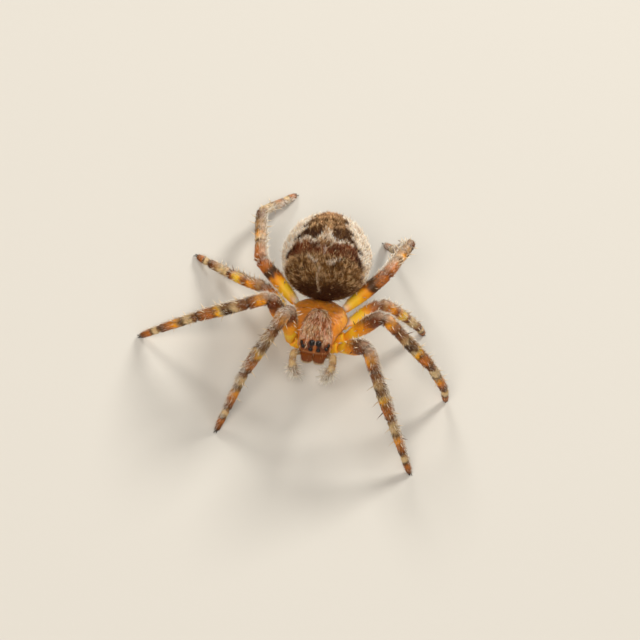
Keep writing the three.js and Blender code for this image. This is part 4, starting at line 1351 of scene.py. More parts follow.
def build_sternum(scene):
    """The sternum with dark sides and a honey streak that narrows to the rear."""
    ink = inks(scene)
    grid = sternum_grid()
    across, y = np.abs(grid[..., 0]), grid[..., 1]
    colours = over(plain(grid, ink["chestnut"]), ink["bark"], 0.8 * smooth((across - 0.25) / 0.25))
    half = 0.09 - 0.05 * smooth((y + 0.9) / 1.8) + 0.05 * (mottle(grid, 0.2, 52) - 0.5)
    streak = smooth((half - across) / 0.05) * smooth((y + 1.0) / 0.3)
    colours = over(colours, ink["honey"], 0.75 * streak)
    relief = 0.015 * (mottle(grid, 0.15, 51) - 0.5)
    part = closed_part(to_standing(pushed(grid, relief)), colours)
    add_piece("sternum_plate", [part], [amber_shell()], ["sternum"])


def build_mouth_plates(scene):
    """The lip and the palps' chewing plates, with pale edges to the front and the middle."""
    ink = inks(scene)
    lip = plate_grid(*LIP, 30, 28)
    pale = smooth((-1.29 - lip[..., 1]) / 0.05)
    tint = over(plain(lip, ink["bark"]), ink["straw"], 0.8 * pale)
    parts = [closed_part(to_standing(lip), tint, place=strip(0, 3))]
    centre, half = CHEWING_PLATE
    for k, side in enumerate(SIDES.values()):
        plate = plate_grid(np.array(centre) * (side, 1, 1), half, 34, 28, 0.6)
        aside = side * plate[..., 0] - centre[0]
        pale = smooth((-1.42 - plate[..., 1] - 0.5 * aside) / 0.08)
        tint = over(plain(plate, ink["rust"]), ink["straw"], 0.7 * pale)
        parts.append(closed_part(to_standing(plate), tint, place=strip(1 + k, 3)))
    add_piece("mouth_plates", parts, [jaw_shell()])


def build_egg_plate(scene):
    """The egg plate before the belly's furrow, with its short ringed tongue."""
    ink = inks(scene)
    place = abdomen_surface(np.radians(FURROW_TURN - 5), np.pi)
    plate = plate_grid(place + (0, 0, 0.03), EGG_PLATE_HALF, 28, 36)
    share = np.linspace(0, 1, 40)
    arch = 0.12 * np.sin(np.pi * share)[:, None] * (0, 0, 1)
    line = place + (0, -0.05, -0.06) + share[:, None] * (0, 0.42, -0.02) - arch
    radii = (0.085 - 0.045 * share) * (1 + 0.1 * np.sin(share * 50))
    radii *= np.sqrt(np.clip(1 - share ** 8, 0.03, 1))
    tongue = tube(line, radii, columns=14)
    tint = over(plain(tongue, ink["garnet"]), ink["tan"], 0.3 * along_rings(share, tongue))
    parts = [
        closed_part(to_standing(plate), plain(plate, ink["rust"]), place=strip(0, 2)),
        closed_part(to_standing(tongue), tint, place=strip(1, 2)),
    ]
    add_piece("egg_plate", parts, [jaw_shell()])


def jaw_grid(side):
    """A jaw: elliptical rings along a spline, swollen in front under the face and flattened
    where the two jaws meet."""
    share = np.linspace(0, 1, 60)
    x, y, z, wide, deep = along_spline(JAW_STATIONS, share)[:, None].transpose(2, 0, 1)
    angle = np.linspace(0, 2 * np.pi, 48, endpoint=False)[None]
    close = round_tip(share, 0.93, 0.075)[:, None]
    out = x + wide * close * np.sign(np.cos(angle)) * np.abs(np.cos(angle)) ** 0.7
    parting = 0.003 + 0.2 * np.clip((share - 0.72) / 0.28, 0, 1)[:, None] ** 1.3
    out = np.maximum(out, parting)
    front = deep * close * np.sign(np.sin(angle)) * np.abs(np.sin(angle)) ** 0.8
    return np.stack([side * out, y + front, z + 0 * angle], axis=-1)


def fang_grid(side):
    """A fang: a tapering curved tooth, folded across under the end of its jaw."""
    share = np.linspace(0, 1, 36)
    turn = np.radians(20 + 150 * share)
    line = np.stack([
        side * (0.31 + 0.18 * np.cos(turn)), -1.74 + 0.1 * share, -0.86 - 0.08 * np.sin(turn),
    ], axis=-1)
    radii = 0.062 * (1 - share) ** 0.7 + 0.004
    return tube(line, radii, (0, 1, 0), 14), share


def build_jaws(scene):
    """The two jaws, darker below, with a painted orange highlight where they meet in front, and
    their fangs.
    """
    ink = inks(scene)
    for name, side in SIDES.items():
        grid = jaw_grid(side)
        fine = mottle(grid, 0.12, 61)
        across = np.abs(grid[..., 0])
        low = smooth((-0.5 - grid[..., 2]) / 0.35)
        front = smooth((-1.6 - grid[..., 1]) / 0.1)
        # Orange along the edge where the two jaws meet in front is a painted highlight.
        inner = bell(across - across.min(axis=1, keepdims=True), 0.05) * front
        colours = over(plain(grid, ink["jaw"]), ink["garnet"], 0.4 * low)
        colours = over(colours, ink["orange"], 0.4 * inner) * (0.9 + 0.2 * fine)[..., None]
        fang, share = fang_grid(side)
        darker = along_rings(smooth((share - 0.3) / 0.5), fang)
        fang_tint = over(plain(fang, ink["garnet"]), ink["black"], darker)
        jaw = to_standing(pushed(grid, 0.008 * (fine - 0.5)))
        parts = [
            closed_part(jaw, colours, place=strip(0, 2)),
            closed_part(to_standing(fang), fang_tint, place=strip(1, 2)),
        ]
        add_piece("jaw_" + name, parts, [jaw_shell()], ["chelicera_" + name])


def build_eyes(scene):
    """Eight lenses, each a sphere set half into the carapace."""
    ink = inks(scene)
    material = eye_lens()
    turn, around = ellipsoid_turns(28, 32)
    ball = np.stack([
        np.sin(turn) * np.sin(around), -np.cos(turn), np.sin(turn) * np.cos(around),
    ], axis=-1)
    for eye, (x, y, radius) in EYES.items():
        for name, side in SIDES.items():
            place, normal = carapace_place(side * x, y)
            lens = place + normal * radius * 0.12 + ball * radius
            part = closed_part(to_standing(lens), plain(lens, ink["black"]))
            add_piece(f"lens_{eye}_{name}", [part], [material], [f"eye_{eye}_{name}"])


def build_spinnerets(scene):
    """Three pairs of spinning cones, each of two joints, round a low base, with the small
    anal cone behind them."""
    ink = inks(scene)
    back = np.radians(SPINNERET_TURN)
    aside = np.array([1, 0, 0])
    out = np.array([0, np.sin(back), -np.cos(back)])
    rear = np.array([0, np.cos(back), np.sin(back)])
    centre = ABDOMEN_CENTRE + ABDOMEN_HALF * out - out * 0.16
    turn, around = ellipsoid_turns(26, 40)
    base = centre + (0.46 * np.sin(turn) * np.sin(around))[..., None] * aside
    base = base + (0.44 * -np.cos(turn))[..., None] * rear
    base = base + (0.2 * np.sin(turn) * np.cos(around))[..., None] * out
    base_tint = over(plain(base, ink["umber"]), ink["fawn"], mottle(base, 0.1, 71))
    parts = [closed_part(to_standing(base), base_tint, place=strip(0, 8))]
    share = np.linspace(0, 1, 40)
    for k, (x, y, width, length) in enumerate(SPINNING_CONES):
        aim = unit(out - aside * x * 0.35 - rear * (y - 0.15) * 0.5)
        reach = (SPINNERET_LENGTH + 0.2) * length
        line = centre + aside * x + rear * y + share[:, None] * aim * reach
        radii = 0.19 * width * (1 - 0.42 * share) * (1 - 0.16 * bell(share - 0.68, 0.04))
        rings = tube(line, radii * round_tip(share, 0.86, 0.141), (1, 0, 0), 20)
        darker = 0.6 * along_rings(smooth((share - 0.7) / 0.1), rings)
        tint = over(plain(rings, ink["fawn"]), ink["umber"], darker)
        parts.append(closed_part(to_standing(rings), tint, place=strip(1 + k, 8)))
    add_piece("spinneret_cones", parts, [leg_shell()], ["spinnerets"])


def build_claws(scene):
    """Two long claws and a small hooked one between them on every foot."""
    ink = inks(scene)
    share = np.linspace(0, 1, 12)
    turn = np.radians(CLAW_BEND) * share[:, None]
    down = np.array([0, 0, -1])
    parts = []
    for number, side in LEG_NAMES:
        limb, _ = leg_surface(number, side)
        tip, forward, sideways = limb.line[-5], limb.tangents[-8], limb.sideways[-8]
        for offset, length in CLAWS:
            curve = forward * np.sin(turn) + down * (1 - np.cos(turn)) * 0.55
            spread = sideways * offset * (1 + share[:, None])
            line = tip + (0, 0, 0.03) + spread + curve * length
            line[:, 2] = np.maximum(line[:, 2], CLAW_HEIGHT)
            rings = tube(line, 0.024 * (1 - share) ** 0.6 + 0.003, columns=8)
            place = strip(len(parts), len(LEG_NAMES) * len(CLAWS))
            parts.append(closed_part(rings, plain(rings, ink["black"]), place=place))
    add_piece("claws", parts, [claw_shell()])


# ------------------------------------------------------------------ coats

# Share of the abdomen's hairs that stand up.
STRAY_SHARE = 0.05

# Size and seed of the noise that parts the head's hairs into streams.
STREAM_CELL = 0.055
STREAM_SEED = 93
# Least half width of the head that the streams are measured by.
LEAST_HEAD = 0.12

# How far the fringe of a leg lies from its top towards the rear side, in degrees. Its extra hairs
# are real, their cream tint is painted rim light.
FRINGE_LEAN = 78
# Mean length of a leg's hairs: joints passed, length.
LEG_HAIR_LENGTHS = np.array([[0, 0.1], [1.5, 0.17], [4, 0.16], [5, 0.13], [6, 0.1]])
# Hairs at the end of a jaw.
FRINGE_HAIRS = 420

# Spines on each leg segment: places along it, and angles from its top to the rear.
SPINE_ROWS = {
    1: ((0.42, 0.66, 0.88), (-48, 8, 55)),
    2: ((0.5, 0.86), (-30, 50)),
    3: ((0.2, 0.52, 0.84), (-75, 10, 55, 90, 165)),
    4: ((0.2, 0.6), (-75, 20, 75, 165)),
}
SPINE_LENGTHS = {1: 0.38, 2: 0.44, 3: 0.48, 4: 0.42}
SPINE_RADIUS = 0.034
SPINE_SINK = 0.03
# Every spine of a leg: joints passed, angle, length.
SPINES = np.array([
    (segment + at, angle, SPINE_LENGTHS[segment])
    for segment, (places, angles) in SPINE_ROWS.items() for at in places for angle in angles
])


def hair_shades(base, random, spread=0.22):
    """Root and tip colours of hairs: the skin's colour, each hair a little lighter or darker,
    with tips paler than roots."""
    shade = np.exp(spread * random.normal(size=len(base)))[:, None]
    return np.clip(base * shade * 0.85, 0, 1), np.clip(base * shade * 1.3 + 0.004, 0, 1)


def strewn_pale(colours, points, random, ink):
    """Hair colours with pale ones strewn in clumps, most of them where skin is light or reddish."""
    light = colours.mean(axis=1)
    reddish = smooth(colours[:, 0] / colours[:, 1] - 3.7)
    clump = 0.3 + 0.7 * clumps(points, 0.11, 81, 0.4, 0.3)
    share = 0.015 + clump * (0.32 * smooth((light - 0.07) / 0.08) + 0.14 * reddish)
    return over(colours, pale_hair(ink), 0.7 * (random.random(len(light)) < share))


def build_abdomen_coat(scene):
    """Short hairs all over the abdomen, combed to the rear, with a few that stand up. They carry
    the marking of the skin at their roots, with pale hairs strewn among the dark."""
    ink, coat = inks(scene), scene.spider_coat
    grid, turn, around = abdomen_grid()
    material = fine_hair()
    density = 0.55 + 0.45 * smooth((130 - np.degrees(np.abs(around))) / 30)
    for layer in range(4):
        random = np.random.default_rng(100 + layer)
        roots = scatter(grid, coat.abdomen_hairs, density, random)
        count = len(roots.points)
        root_turn = np.interp(roots.row, np.arange(ABDOMEN_ROWS), turn[:, 0])
        root_around = -np.pi + 2 * np.pi * roots.column / ABDOMEN_COLUMNS
        colours = abdomen_marking(root_turn, root_around, roots.points, ink)
        colours = strewn_pale(colours, roots.points, random, ink)
        swirl = 1.1 * (mottle(roots.points, 0.35, 82) - 0.5) + 0.33 * random.normal(size=count)
        stray = random.random(count) < STRAY_SHARE
        lift = np.where(stray, 55, 16) + np.where(stray, 20, 30) * random.random(count) ** 1.5
        size = np.exp(0.25 * random.normal(size=count)) * np.where(stray, 1.2, 1)
        radii = coat.hair_radius / MM * (0.8 + 0.4 * random.random(count))
        part = coat_part(
            roots, turned(roots.along, roots.normals, swirl), lift,
            coat.hair_length / MM * size, radii,
            *hair_shades(colours, random, 0.3), grid_uvs(roots, grid), random)
        part = part._replace(points=to_standing(part.points))
        add_piece(f"abdomen_coat_{layer + 1}", [part], [material])


def hair_streams(points):
    """Places in the streams of the head's hairs, which widen with the head: across it as a
    share of its half width, with waves, then a slow course along it."""
    x, y = points[..., 0], points[..., 1]
    waves = 0.14 * (mottle(points, 0.22, 91) - 0.5)
    across = x / np.maximum(head_half_width(y), LEAST_HEAD) + waves
    return np.stack([across, 0.16 * y, 0 * y], axis=-1)


def room_before_eyes(x, y):
    """How far a hair may reach forwards before it meets an eye's rim."""
    room = np.full(x.shape, 9.0)
    for eye_x, eye_y, radius in EYES.values():
        behind = np.where(np.abs(np.abs(x) - eye_x) < 1.3 * radius, y - eye_y, -9)
        room = np.where(behind > 0, np.minimum(room, behind - 1.1 * radius), room)
    return np.maximum(room, 0.06)


def head_density(grid, up):
    """How thick the hairs grow on the carapace: in streams on the head, with a thin lane on
    each side, and hardly at all on the thorax and in front. None grow round the eyes."""
    x, y = grid[..., 0], grid[..., 1]
    across = np.abs(x)
    eyes = np.zeros(x.shape)
    for eye_x, eye_y, radius in EYES.values():
        distance = np.hypot(across - eye_x, y - eye_y)
        eyes = np.maximum(eyes, smooth((1.6 * radius - distance) / (0.3 * radius)))
    head = smooth((0.05 - groove_distance(x, y)) / 0.12) * smooth((0.95 - across) / 0.1)
    streams = 0.3 + 0.7 * clumps(hair_streams(grid), STREAM_CELL, STREAM_SEED, 0.36, 0.26)
    lane = 0.75 * bell(across - 0.42, 0.1) * smooth((-1.1 - y) / 0.25)
    thick = head * streams * smooth((y + 1.58) / 0.12) * (1 - lane)
    return (0.01 + thick) * (1 - eyes) * smooth(up / 0.3)


def combed_forwards(x, y):
    """Directions of the head's hairs: forwards, spread as the head widens."""
    widening = (head_half_width(y - 0.05) - head_half_width(y + 0.05)) / 0.1
    aside = x / np.maximum(head_half_width(y), LEAST_HEAD) * widening
    return unit(np.stack([aside, -np.ones(len(x)), np.zeros(len(x))], axis=-1))


def head_hair_colours(points, random, ink):
    """Colours of the head's hairs: pinkish in the streams and chestnut between them, with some
    cream, and straw in patches and along the middle."""
    tone = clumps(hair_streams(points), STREAM_CELL, STREAM_SEED, 0.3, 0.3)
    colours = over(plain(points, ink["chestnut"]), ink["pinkish"], 0.2 + 0.75 * tone)
    colours = over(colours, ink["cream"], 0.45 * random.random(len(points)) * tone)
    colours = over(colours, ink["straw"], 0.35 * clumps(points, 0.3, 95, 0.4, 0.3))
    middle = bell(points[:, 0], 0.28) * smooth((-1.0 - points[:, 1]) / 0.2)
    return over(colours, ink["straw"], 0.45 * middle)


def build_head_coat(scene):
    """Pale hairs on the head, combed forwards in streams that part round dark gaps. They thin
    out over the thorax."""
    ink, coat = inks(scene), scene.spider_coat
    grid, angle = carapace_grid()
    random = np.random.default_rng(200)
    roots = scatter(grid, coat.head_hairs, head_density(grid, np.sin(angle)), random)
    count = len(roots.points)
    x, y = roots.points[:, 0], roots.points[:, 1]
    curl = 1.3 * (mottle(roots.points, 0.14, 94) - 0.5) + 0.2 * random.normal(size=count)
    colours = head_hair_colours(roots.points, random, ink)
    size = 0.24 * np.exp(0.25 * random.normal(size=count))
    lift = 9 + 14 * random.random(count)
    radii = 0.011 + 0.007 * random.random(count)
    part = coat_part(
        roots, turned(combed_forwards(x, y), roots.normals, curl), lift,
        np.minimum(size, room_before_eyes(x, y)), radii,
        *hair_shades(colours, random, 0.4), grid_uvs(roots, grid), random)
    part = part._replace(points=to_standing(part.points))
    add_piece("head_coat", [part], [fine_hair()])


def leg_density(number, stations):
    """How thick the coat is along a leg: the yellow bases are almost bare."""
    first = 1.25 if number in FRONT_PAIRS else 1.62
    return 0.06 + 0.94 * smooth((stations - first) / 0.35)


def fringe_and_painted_rim_share(around, side):
    """How much of a leg's fringe grows at an angle round it: most on its rear side, where its
    pale hairs are painted rim light.
    """
    return smooth((np.cos(around - np.radians(90 + FRINGE_LEAN * SIDES[side])) - 0.5) / 0.4)


def leg_hairs(number, side, hairs, ink):
    """The coat of one leg."""
    front = number in FRONT_PAIRS
    random = np.random.default_rng(300 + 10 * number + SIDES[side])
    limb, grid = leg_surface(number, side)
    edge = fringe_and_painted_rim_share(2 * np.pi * np.arange(LEG_COLUMNS) / LEG_COLUMNS, side)
    density = leg_density(number, limb.stations)[:, None] * (1 + edge)
    if not front:
        femur = smooth((limb.stations - 1) / 0.1)[:, None]
        density = np.maximum(density, 0.8 * edge * femur)
    count = int(hairs * (0.62 if number == 3 else 1))
    roots = scatter(grid, count, density, random)
    stations = np.interp(roots.row, np.arange(len(limb.stations)), limb.stations)
    around = 2 * np.pi * roots.column / LEG_COLUMNS
    colours = leg_marking(number, side, stations, around, roots.points, ink)
    # On the leg's top and in the fringe along its rear side more hairs are tinted cream: painted rim
    # light.
    top = smooth((np.sin(around) + 0.3) / 0.9)
    fringe = fringe_and_painted_rim_share(around, side) * smooth((stations - (1.1 if front else 0.8)) / 0.4)
    share = 0.04 + 0.24 * top * smooth((stations - 1.3) / 0.5) + 0.6 * fringe
    pale = random.random(count) < share
    colours = over(colours, ink["cream"], pale * (0.4 + np.maximum(0.3 * top, 0.55 * fringe)))
    colours = colours * np.where(pale, 1, 0.88)[:, None]
    lie = turned(roots.along, roots.normals, 0.25 * random.normal(size=count))
    size = np.interp(stations, *LEG_HAIR_LENGTHS.T) * np.exp(0.25 * random.normal(size=count))
    lift = np.where(pale, 25, 12) + 15 * fringe + 25 * random.random(count) ** 2
    radii = 0.005 + 0.003 * random.random(count)
    uvs = grid_uvs(roots, grid, strip(list(SIDES).index(side), 2))
    part = coat_part(
        roots, lie, lift, size * (1 + 0.3 * fringe), radii,
        *hair_shades(colours, random), uvs, random)
    part.points[:, 2] = np.maximum(part.points[:, 2], HAIR_HEIGHT)
    return part


def build_leg_coat(scene):
    """Short hairs on the legs, combed to the feet, denser in a fringe along the rear side. On top
    and in the fringe more of them are painted pale, as rim light. One coat for each pair."""
    ink, hairs = inks(scene), scene.spider_coat.leg_hairs
    material = fine_hair()
    for number in (1, 2, 3, 4):
        parts = [leg_hairs(number, side, hairs, ink) for side in SIDES]
        add_piece(f"leg_coat_{number}", parts, [material])


def palp_hairs(side, hairs, place, random, ink):
    """Short hairs along one palp, and bristles that stand out, most of them near its tip."""
    limb = palp_limb(side)
    grid = limb_grid(limb, PALP_COLUMNS)
    density = along_rings(0.25 + 1.2 * smooth((limb.stations - 0.55) / 0.3), grid)
    roots = scatter(grid, hairs, density, random)
    count = len(roots.points)
    share = np.interp(roots.row, np.arange(len(limb.stations)), limb.stations)
    bristle = random.random(count) < 0.04 + 0.16 * smooth((share - 0.66) / 0.14)
    colours = palp_marking(share, roots.points, ink)
    colours = over(colours, ink["cream"], np.where(bristle, 0.95, 0.35))
    uvs = grid_uvs(roots, grid, place)
    lie = turned(roots.along, roots.normals, 0.35 * random.normal(size=count))
    size = (0.13 + 0.06 * random.random(count)) * (0.5 + 0.5 * smooth((share - 0.2) / 0.5))
    lift = 12 + 16 * random.random(count)
    short = coat_part(
        roots, lie, lift, size, np.full(count, 0.007),
        *hair_shades(colours, random), uvs, random)
    spread = roots.normals + 0.45 * roots.along + 0.3 * random.normal(size=(count, 3))
    stand, near_tip = unit(spread)[bristle], smooth((share[bristle] - 0.6) / 0.2)
    length = (0.24 + 0.34 * random.random(len(stand))) * (0.6 + 0.4 * near_tip)
    start = (roots.points - roots.normals * ROOT_DEPTH)[bristle]
    long = hair_part(
        start, stand, unit(stand + 0.2 * roots.along[bristle]), length,
        np.full(len(stand), 0.019), *hair_shades(colours[bristle], random, 0.1), uvs[bristle])
    return [short, long]


def jaw_fringe(side, place, random, ink):
    """Short hairs at the end of one jaw."""
    jaw = jaw_grid(side)
    low = smooth((-0.6 - jaw[..., 2]) / 0.2) * smooth((jaw[..., 2] + 0.9) / 0.03)
    roots = scatter(jaw, FRINGE_HAIRS, 0.02 + low, random)
    down = np.broadcast_to((0, -0.25, -1.0), roots.points.shape)
    reddish = 0.6 * random.random(FRINGE_HAIRS)
    tint = over(plain(roots.points, ink["straw"]), ink["rust"], reddish)
    lift = 20 + 25 * random.random(FRINGE_HAIRS)
    length = 0.13 + 0.08 * random.random(FRINGE_HAIRS)
    part = coat_part(
        roots, down, lift, length, np.full(FRINGE_HAIRS, 0.008),
        *hair_shades(tint, random), grid_uvs(roots, jaw, place), random)
    return part._replace(points=to_standing(part.points))


def build_palp_coat(scene):
    """Pale hairs on the palps: short ones along them and long bristles that stand out round
    their tips, with a fringe of short hairs at the ends of the jaws."""
    ink, hairs = inks(scene), scene.spider_coat.palp_hairs
    parts = []
    for k, side in enumerate(SIDES.values()):
        random = np.random.default_rng(400 + side)
        parts += palp_hairs(side, hairs, strip(k, 4), random, ink)
        parts.append(jaw_fringe(side, strip(2 + k, 4), random, ink))
    add_piece("palp_coat", parts, [fine_hair()])


def limb_at(limb, stations):
    """A limb's line, tangents, sideways and up directions and radii at the stations given."""
    columns = np.hstack([
        limb.line, limb.tangents, limb.sideways, limb.ups, limb.radii[:, None]]).T
    mixed = np.stack([np.interp(stations, limb.stations, column) for column in columns], axis=-1)
    return np.split(mixed, (3, 6, 9, 12), axis=1)


def leg_spines(number, side, row, random, ink):
    """The spines of one leg, in a row of the map: a few dark, the others straw."""
    limb, _ = leg_surface(number, side)
    joints, angles, lengths = SPINES.T
    count = len(SPINES)
    stations = joints + 0.05 * random.normal(size=count)
    angle = np.radians(90 + angles * SIDES[side] + 9 * random.normal(size=count))[:, None]
    line, tangents, sideways, ups, radii = limb_at(limb, stations)
    out = unit(np.cos(angle) * sideways + np.sin(angle) * ups)
    stand = unit(out + tangents * (0.25 + 0.3 * random.random((count, 1))))
    length = lengths * (0.85 + 0.3 * random.random(count)) * (0.8 if number == 3 else 1)
    dark = random.random((count, 1)) < 0.05
    root = np.where(dark, ink["bark"], ink["straw"])
    tip = np.where(dark, ink["rust"], ink["cream"])
    uvs = np.stack([stations / 6, (row + (angles + 180) / 400) / len(LEG_NAMES)], axis=-1)
    return hair_part(
        line + out * (radii - SPINE_SINK), stand, unit(stand + 0.1 * tangents), length,
        np.full(count, SPINE_RADIUS), root, tip, 0.02 + 0.95 * uvs)


def build_spines(scene):
    """Stiff spines in rows along the legs, leaning to the feet."""
    ink = inks(scene)
    random = np.random.default_rng(500)
    parts = [leg_spines(*leg, row, random, ink) for row, leg in enumerate(LEG_NAMES)]
    add_piece("leg_spines", parts, [spine_shell()])


# ------------------------------------------------------------------ stage

# Middle of the view, in standing millimetres.
LOOK_AT = np.array([0.15, 0.58, 2.0])
# Soft boxes: azimuth, elevation, distance and size in metres, power in watts, colour.
SOFT_BOXES = {
    "key_light": (-30, 56, 0.42, 0.28, 1.1, "#FFF4E6"),
    "fill_light": (50, 42, 0.5, 0.4, 0.32, "#FFFCF8"),
    "rim_light": (150, 28, 0.4, 0.12, 1.5, "#FFFAF0"),
    "back_light": (-150, 30, 0.42, 0.12, 0.7, "#FFFAF0"),
}
ROOM_COLOUR = (0.92, 0.9, 0.87, 1)
ROOM_STRENGTH = 0.21


def sky_direction(azimuth, elevation):
    """Unit vector towards a place in the sky: azimuth 0 is in front of the spider, at -Y."""
    flat = np.array([np.sin(azimuth), -np.cos(azimuth), 0]) * np.cos(elevation)
    return flat + (0, 0, np.sin(elevation))


def studio_paper(colour):
    """Matt paper with a faint grain."""
    material = bpy.data.materials.new("matt_studio_paper")
    material.use_nodes = True
    tree = material.node_tree
    tree.nodes.clear()
    place = add_node(tree, "TexCoord").outputs["Object"]
    noise = add_node(tree, "TexNoise", {
        "Vector": place, "Scale": per_metre(0.6), "Detail": 3.0}).outputs["Fac"]
    raised = add_node(tree, "Bump", {"Height": noise, "Distance": 0.01 * MM, "Strength": 0.4})
    paper = add_node(tree, "BsdfPrincipled", {
        "Base Color": (*colour, 1), "Roughness": 1.0, "Specular IOR Level": 0.08,
        "Normal": raised.outputs["Normal"]})
    add_node(tree, "OutputMaterial", {"Surface": paper.outputs["BSDF"]})
    return material


def build_floor(scene):
    """A round sheet that lies flat and curves up far from the spider."""
    radius = np.concatenate([[0.02], np.linspace(0.1, 2.2, 60)])[:, None]
    angle = np.linspace(0, 2 * np.pi, 96, endpoint=False)[None]
    rise = 0.5 * smooth((radius - 0.7) / 1.8) + 0 * angle
    grid = np.stack([radius * np.cos(angle), radius * np.sin(angle), rise], axis=-1)
    rows, columns = grid.shape[:2]
    index = np.arange(rows * columns).reshape(rows, columns)
    beside = np.roll(index, -1, axis=1)
    faces = np.stack([index[:-1], index[1:], beside[1:], beside[:-1]], axis=-1)
    faces = faces.reshape(-1, 4).tolist() + [index[0].tolist()]
    mesh = bpy.data.meshes.new("studio_floor")
    mesh.from_pydata(grid.reshape(-1, 3).tolist(), [], faces)
    mesh.shade_smooth()
    mesh.materials.append(studio_paper(scene.spider_stage.floor))
    floor = bpy.data.objects.new("studio_floor", mesh)
    scene.collection.objects.link(floor)


def aimed(direction, roll=0.0):
    """Axes of something that looks back along a direction: right, up and the direction."""
    right = unit(np.cross((0, 0, 1), direction))
    up = np.cross(direction, right)
    across = right * np.cos(roll) + up * np.sin(roll)
    return np.stack([across, up * np.cos(roll) - right * np.sin(roll), direction], axis=-1)


def placed(axes, place):
    """A 4 by 4 matrix from axes in columns and a place."""
    return Matrix(np.vstack([np.column_stack([axes, place]), [0, 0, 0, 1]]))


def build_lights(scene):
    """Soft boxes round the spider, in pale surroundings."""
    centre = to_row(LOOK_AT)
    for name, (azimuth, elevation, distance, size, power, code) in SOFT_BOXES.items():
        light = bpy.data.lights.new(name, "AREA")
        light.shape, light.size, light.energy, light.color = "DISK", size, power, linear(code)
        box = bpy.data.objects.new(name, light)
        direction = sky_direction(np.radians(azimuth), np.radians(elevation))
        box.matrix_world = placed(aimed(direction), centre + direction * distance)
        scene.collection.objects.link(box)
    scene.world = bpy.data.worlds.new("pale_room")
    scene.world.use_nodes = True
    room = scene.world.node_tree.nodes["Background"]
    room.inputs["Color"].default_value = ROOM_COLOUR
    room.inputs["Strength"].default_value = ROOM_STRENGTH


def build_camera(scene):
    """A long lens that looks down at the spider."""
    stage = scene.spider_stage
    camera = bpy.data.cameras.new("camera")
    camera.lens, camera.sensor_width, camera.clip_start = 180, 36, 0.01
    eye = bpy.data.objects.new("camera", camera)
    direction = sky_direction(stage.azimuth, stage.elevation)
    place = to_row(LOOK_AT) + direction * stage.distance
    eye.matrix_world = placed(aimed(direction, stage.roll), place)
    scene.collection.objects.link(eye)
    scene.camera = eye
    scene.view_settings.view_transform = "Standard"


# ------------------------------------------------------------------ add-on


class SPIDER_OT_skin(Operator):
    """Build the skin of the abdomen, waist, legs and palps"""

    bl_idname = "spider.skin"
    bl_label = "Skin"

    def execute(self, context):
        build_skin(context.scene)
        return {"FINISHED"}


class SPIDER_OT_carapace(Operator):
    """Build the carapace"""

    bl_idname = "spider.carapace"
    bl_label = "Carapace"

    def execute(self, context):
        build_carapace(context.scene)
        return {"FINISHED"}


class SPIDER_OT_underside(Operator):
    """Build the sternum, the mouth's plates and the egg plate"""

    bl_idname = "spider.underside"
    bl_label = "Underside"

    def execute(self, context):
        build_sternum(context.scene)
        build_mouth_plates(context.scene)
        build_egg_plate(context.scene)
        return {"FINISHED"}


class SPIDER_OT_jaws(Operator):
    """Build the jaws and fangs"""

    bl_idname = "spider.jaws"
    bl_label = "Jaws"

    def execute(self, context):
        build_jaws(context.scene)
        return {"FINISHED"}


class SPIDER_OT_eyes(Operator):
    """Build the eight eyes"""

    bl_idname = "spider.eyes"
    bl_label = "Eyes"

    def execute(self, context):
        build_eyes(context.scene)
        return {"FINISHED"}


class SPIDER_OT_spinnerets(Operator):
    """Build the spinnerets"""

    bl_idname = "spider.spinnerets"
    bl_label = "Spinnerets"

    def execute(self, context):
        build_spinnerets(context.scene)
        return {"FINISHED"}


class SPIDER_OT_claws(Operator):
    """Build the claws of the eight feet"""

    bl_idname = "spider.claws"
    bl_label = "Claws"

    def execute(self, context):
        build_claws(context.scene)
        return {"FINISHED"}


class SPIDER_OT_coats(Operator):
    """Grow the coats of the abdomen, head, legs and palps"""

    bl_idname = "spider.coats"
    bl_label = "Coats"

    def execute(self, context):
        build_abdomen_coat(context.scene)
        build_head_coat(context.scene)
        build_leg_coat(context.scene)
        build_palp_coat(context.scene)
        return {"FINISHED"}


class SPIDER_OT_spines(Operator):
    """Set the spines on the legs"""

    bl_idname = "spider.spines"
    bl_label = "Spines"

    def execute(self, context):
        build_spines(context.scene)
        return {"FINISHED"}


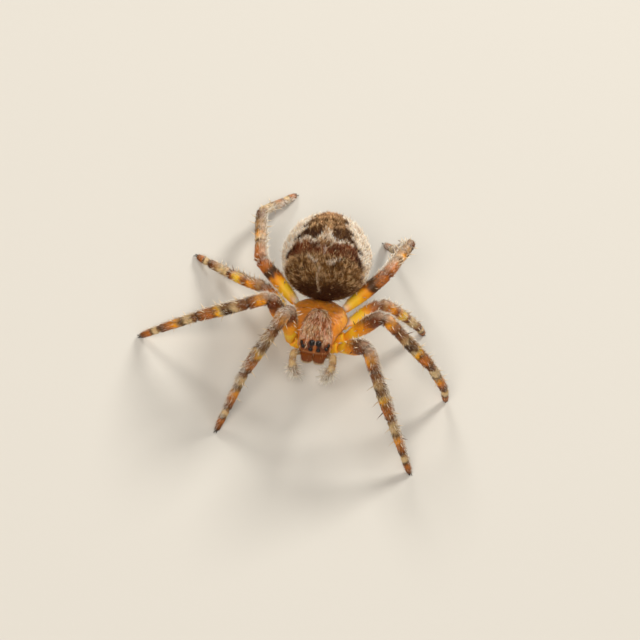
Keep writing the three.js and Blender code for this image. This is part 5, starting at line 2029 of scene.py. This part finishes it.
class SPIDER_OT_stage(Operator):
    """Set up the floor, lights and camera"""

    bl_idname = "spider.stage"
    bl_label = "Stage"

    def execute(self, context):
        build_floor(context.scene)
        build_lights(context.scene)
        build_camera(context.scene)
        return {"FINISHED"}


BUILDERS = (
    SPIDER_OT_skin, SPIDER_OT_carapace, SPIDER_OT_underside, SPIDER_OT_jaws, SPIDER_OT_eyes,
    SPIDER_OT_spinnerets, SPIDER_OT_claws, SPIDER_OT_coats, SPIDER_OT_spines, SPIDER_OT_stage,
)


class SPIDER_PT_panel(Panel):
    """Lists the spider's settings and builders"""

    bl_label = "Orb Weaver"
    bl_idname = "SPIDER_PT_panel"
    bl_space_type = "VIEW_3D"
    bl_region_type = "UI"
    bl_category = "Orb Weaver"

    def draw(self, context):
        """Draws a box for each group of settings, then a button for each builder."""
        for scene_property, group in GROUPS.items():
            box = self.layout.box()
            for name in group.__annotations__:
                box.prop(getattr(context.scene, scene_property), name)
        for builder in BUILDERS:
            self.layout.operator(builder.bl_idname)


GROUPS = {"spider_palette": SpiderPalette, "spider_coat": SpiderCoat, "spider_stage": SpiderStage}


def register():
    """Registers the settings, the builders and the panel."""
    for group in GROUPS.values():
        bpy.utils.register_class(group)
    for name, group in GROUPS.items():
        setattr(bpy.types.Scene, name, PointerProperty(type=group))
    for builder in (*BUILDERS, SPIDER_PT_panel):
        bpy.utils.register_class(builder)


def unregister():
    """Takes back what register did, in the opposite order."""
    for builder in (SPIDER_PT_panel, *reversed(BUILDERS)):
        bpy.utils.unregister_class(builder)
    for name, group in GROUPS.items():
        delattr(bpy.types.Scene, name)
        bpy.utils.unregister_class(group)


def main():
    """Builds every piece in order."""
    register()
    bpy.ops.spider.skin()
    bpy.ops.spider.carapace()
    bpy.ops.spider.underside()
    bpy.ops.spider.jaws()
    bpy.ops.spider.eyes()
    bpy.ops.spider.spinnerets()
    bpy.ops.spider.claws()
    bpy.ops.spider.coats()
    bpy.ops.spider.spines()
    bpy.ops.spider.stage()


if __name__ == "__main__":
    main()
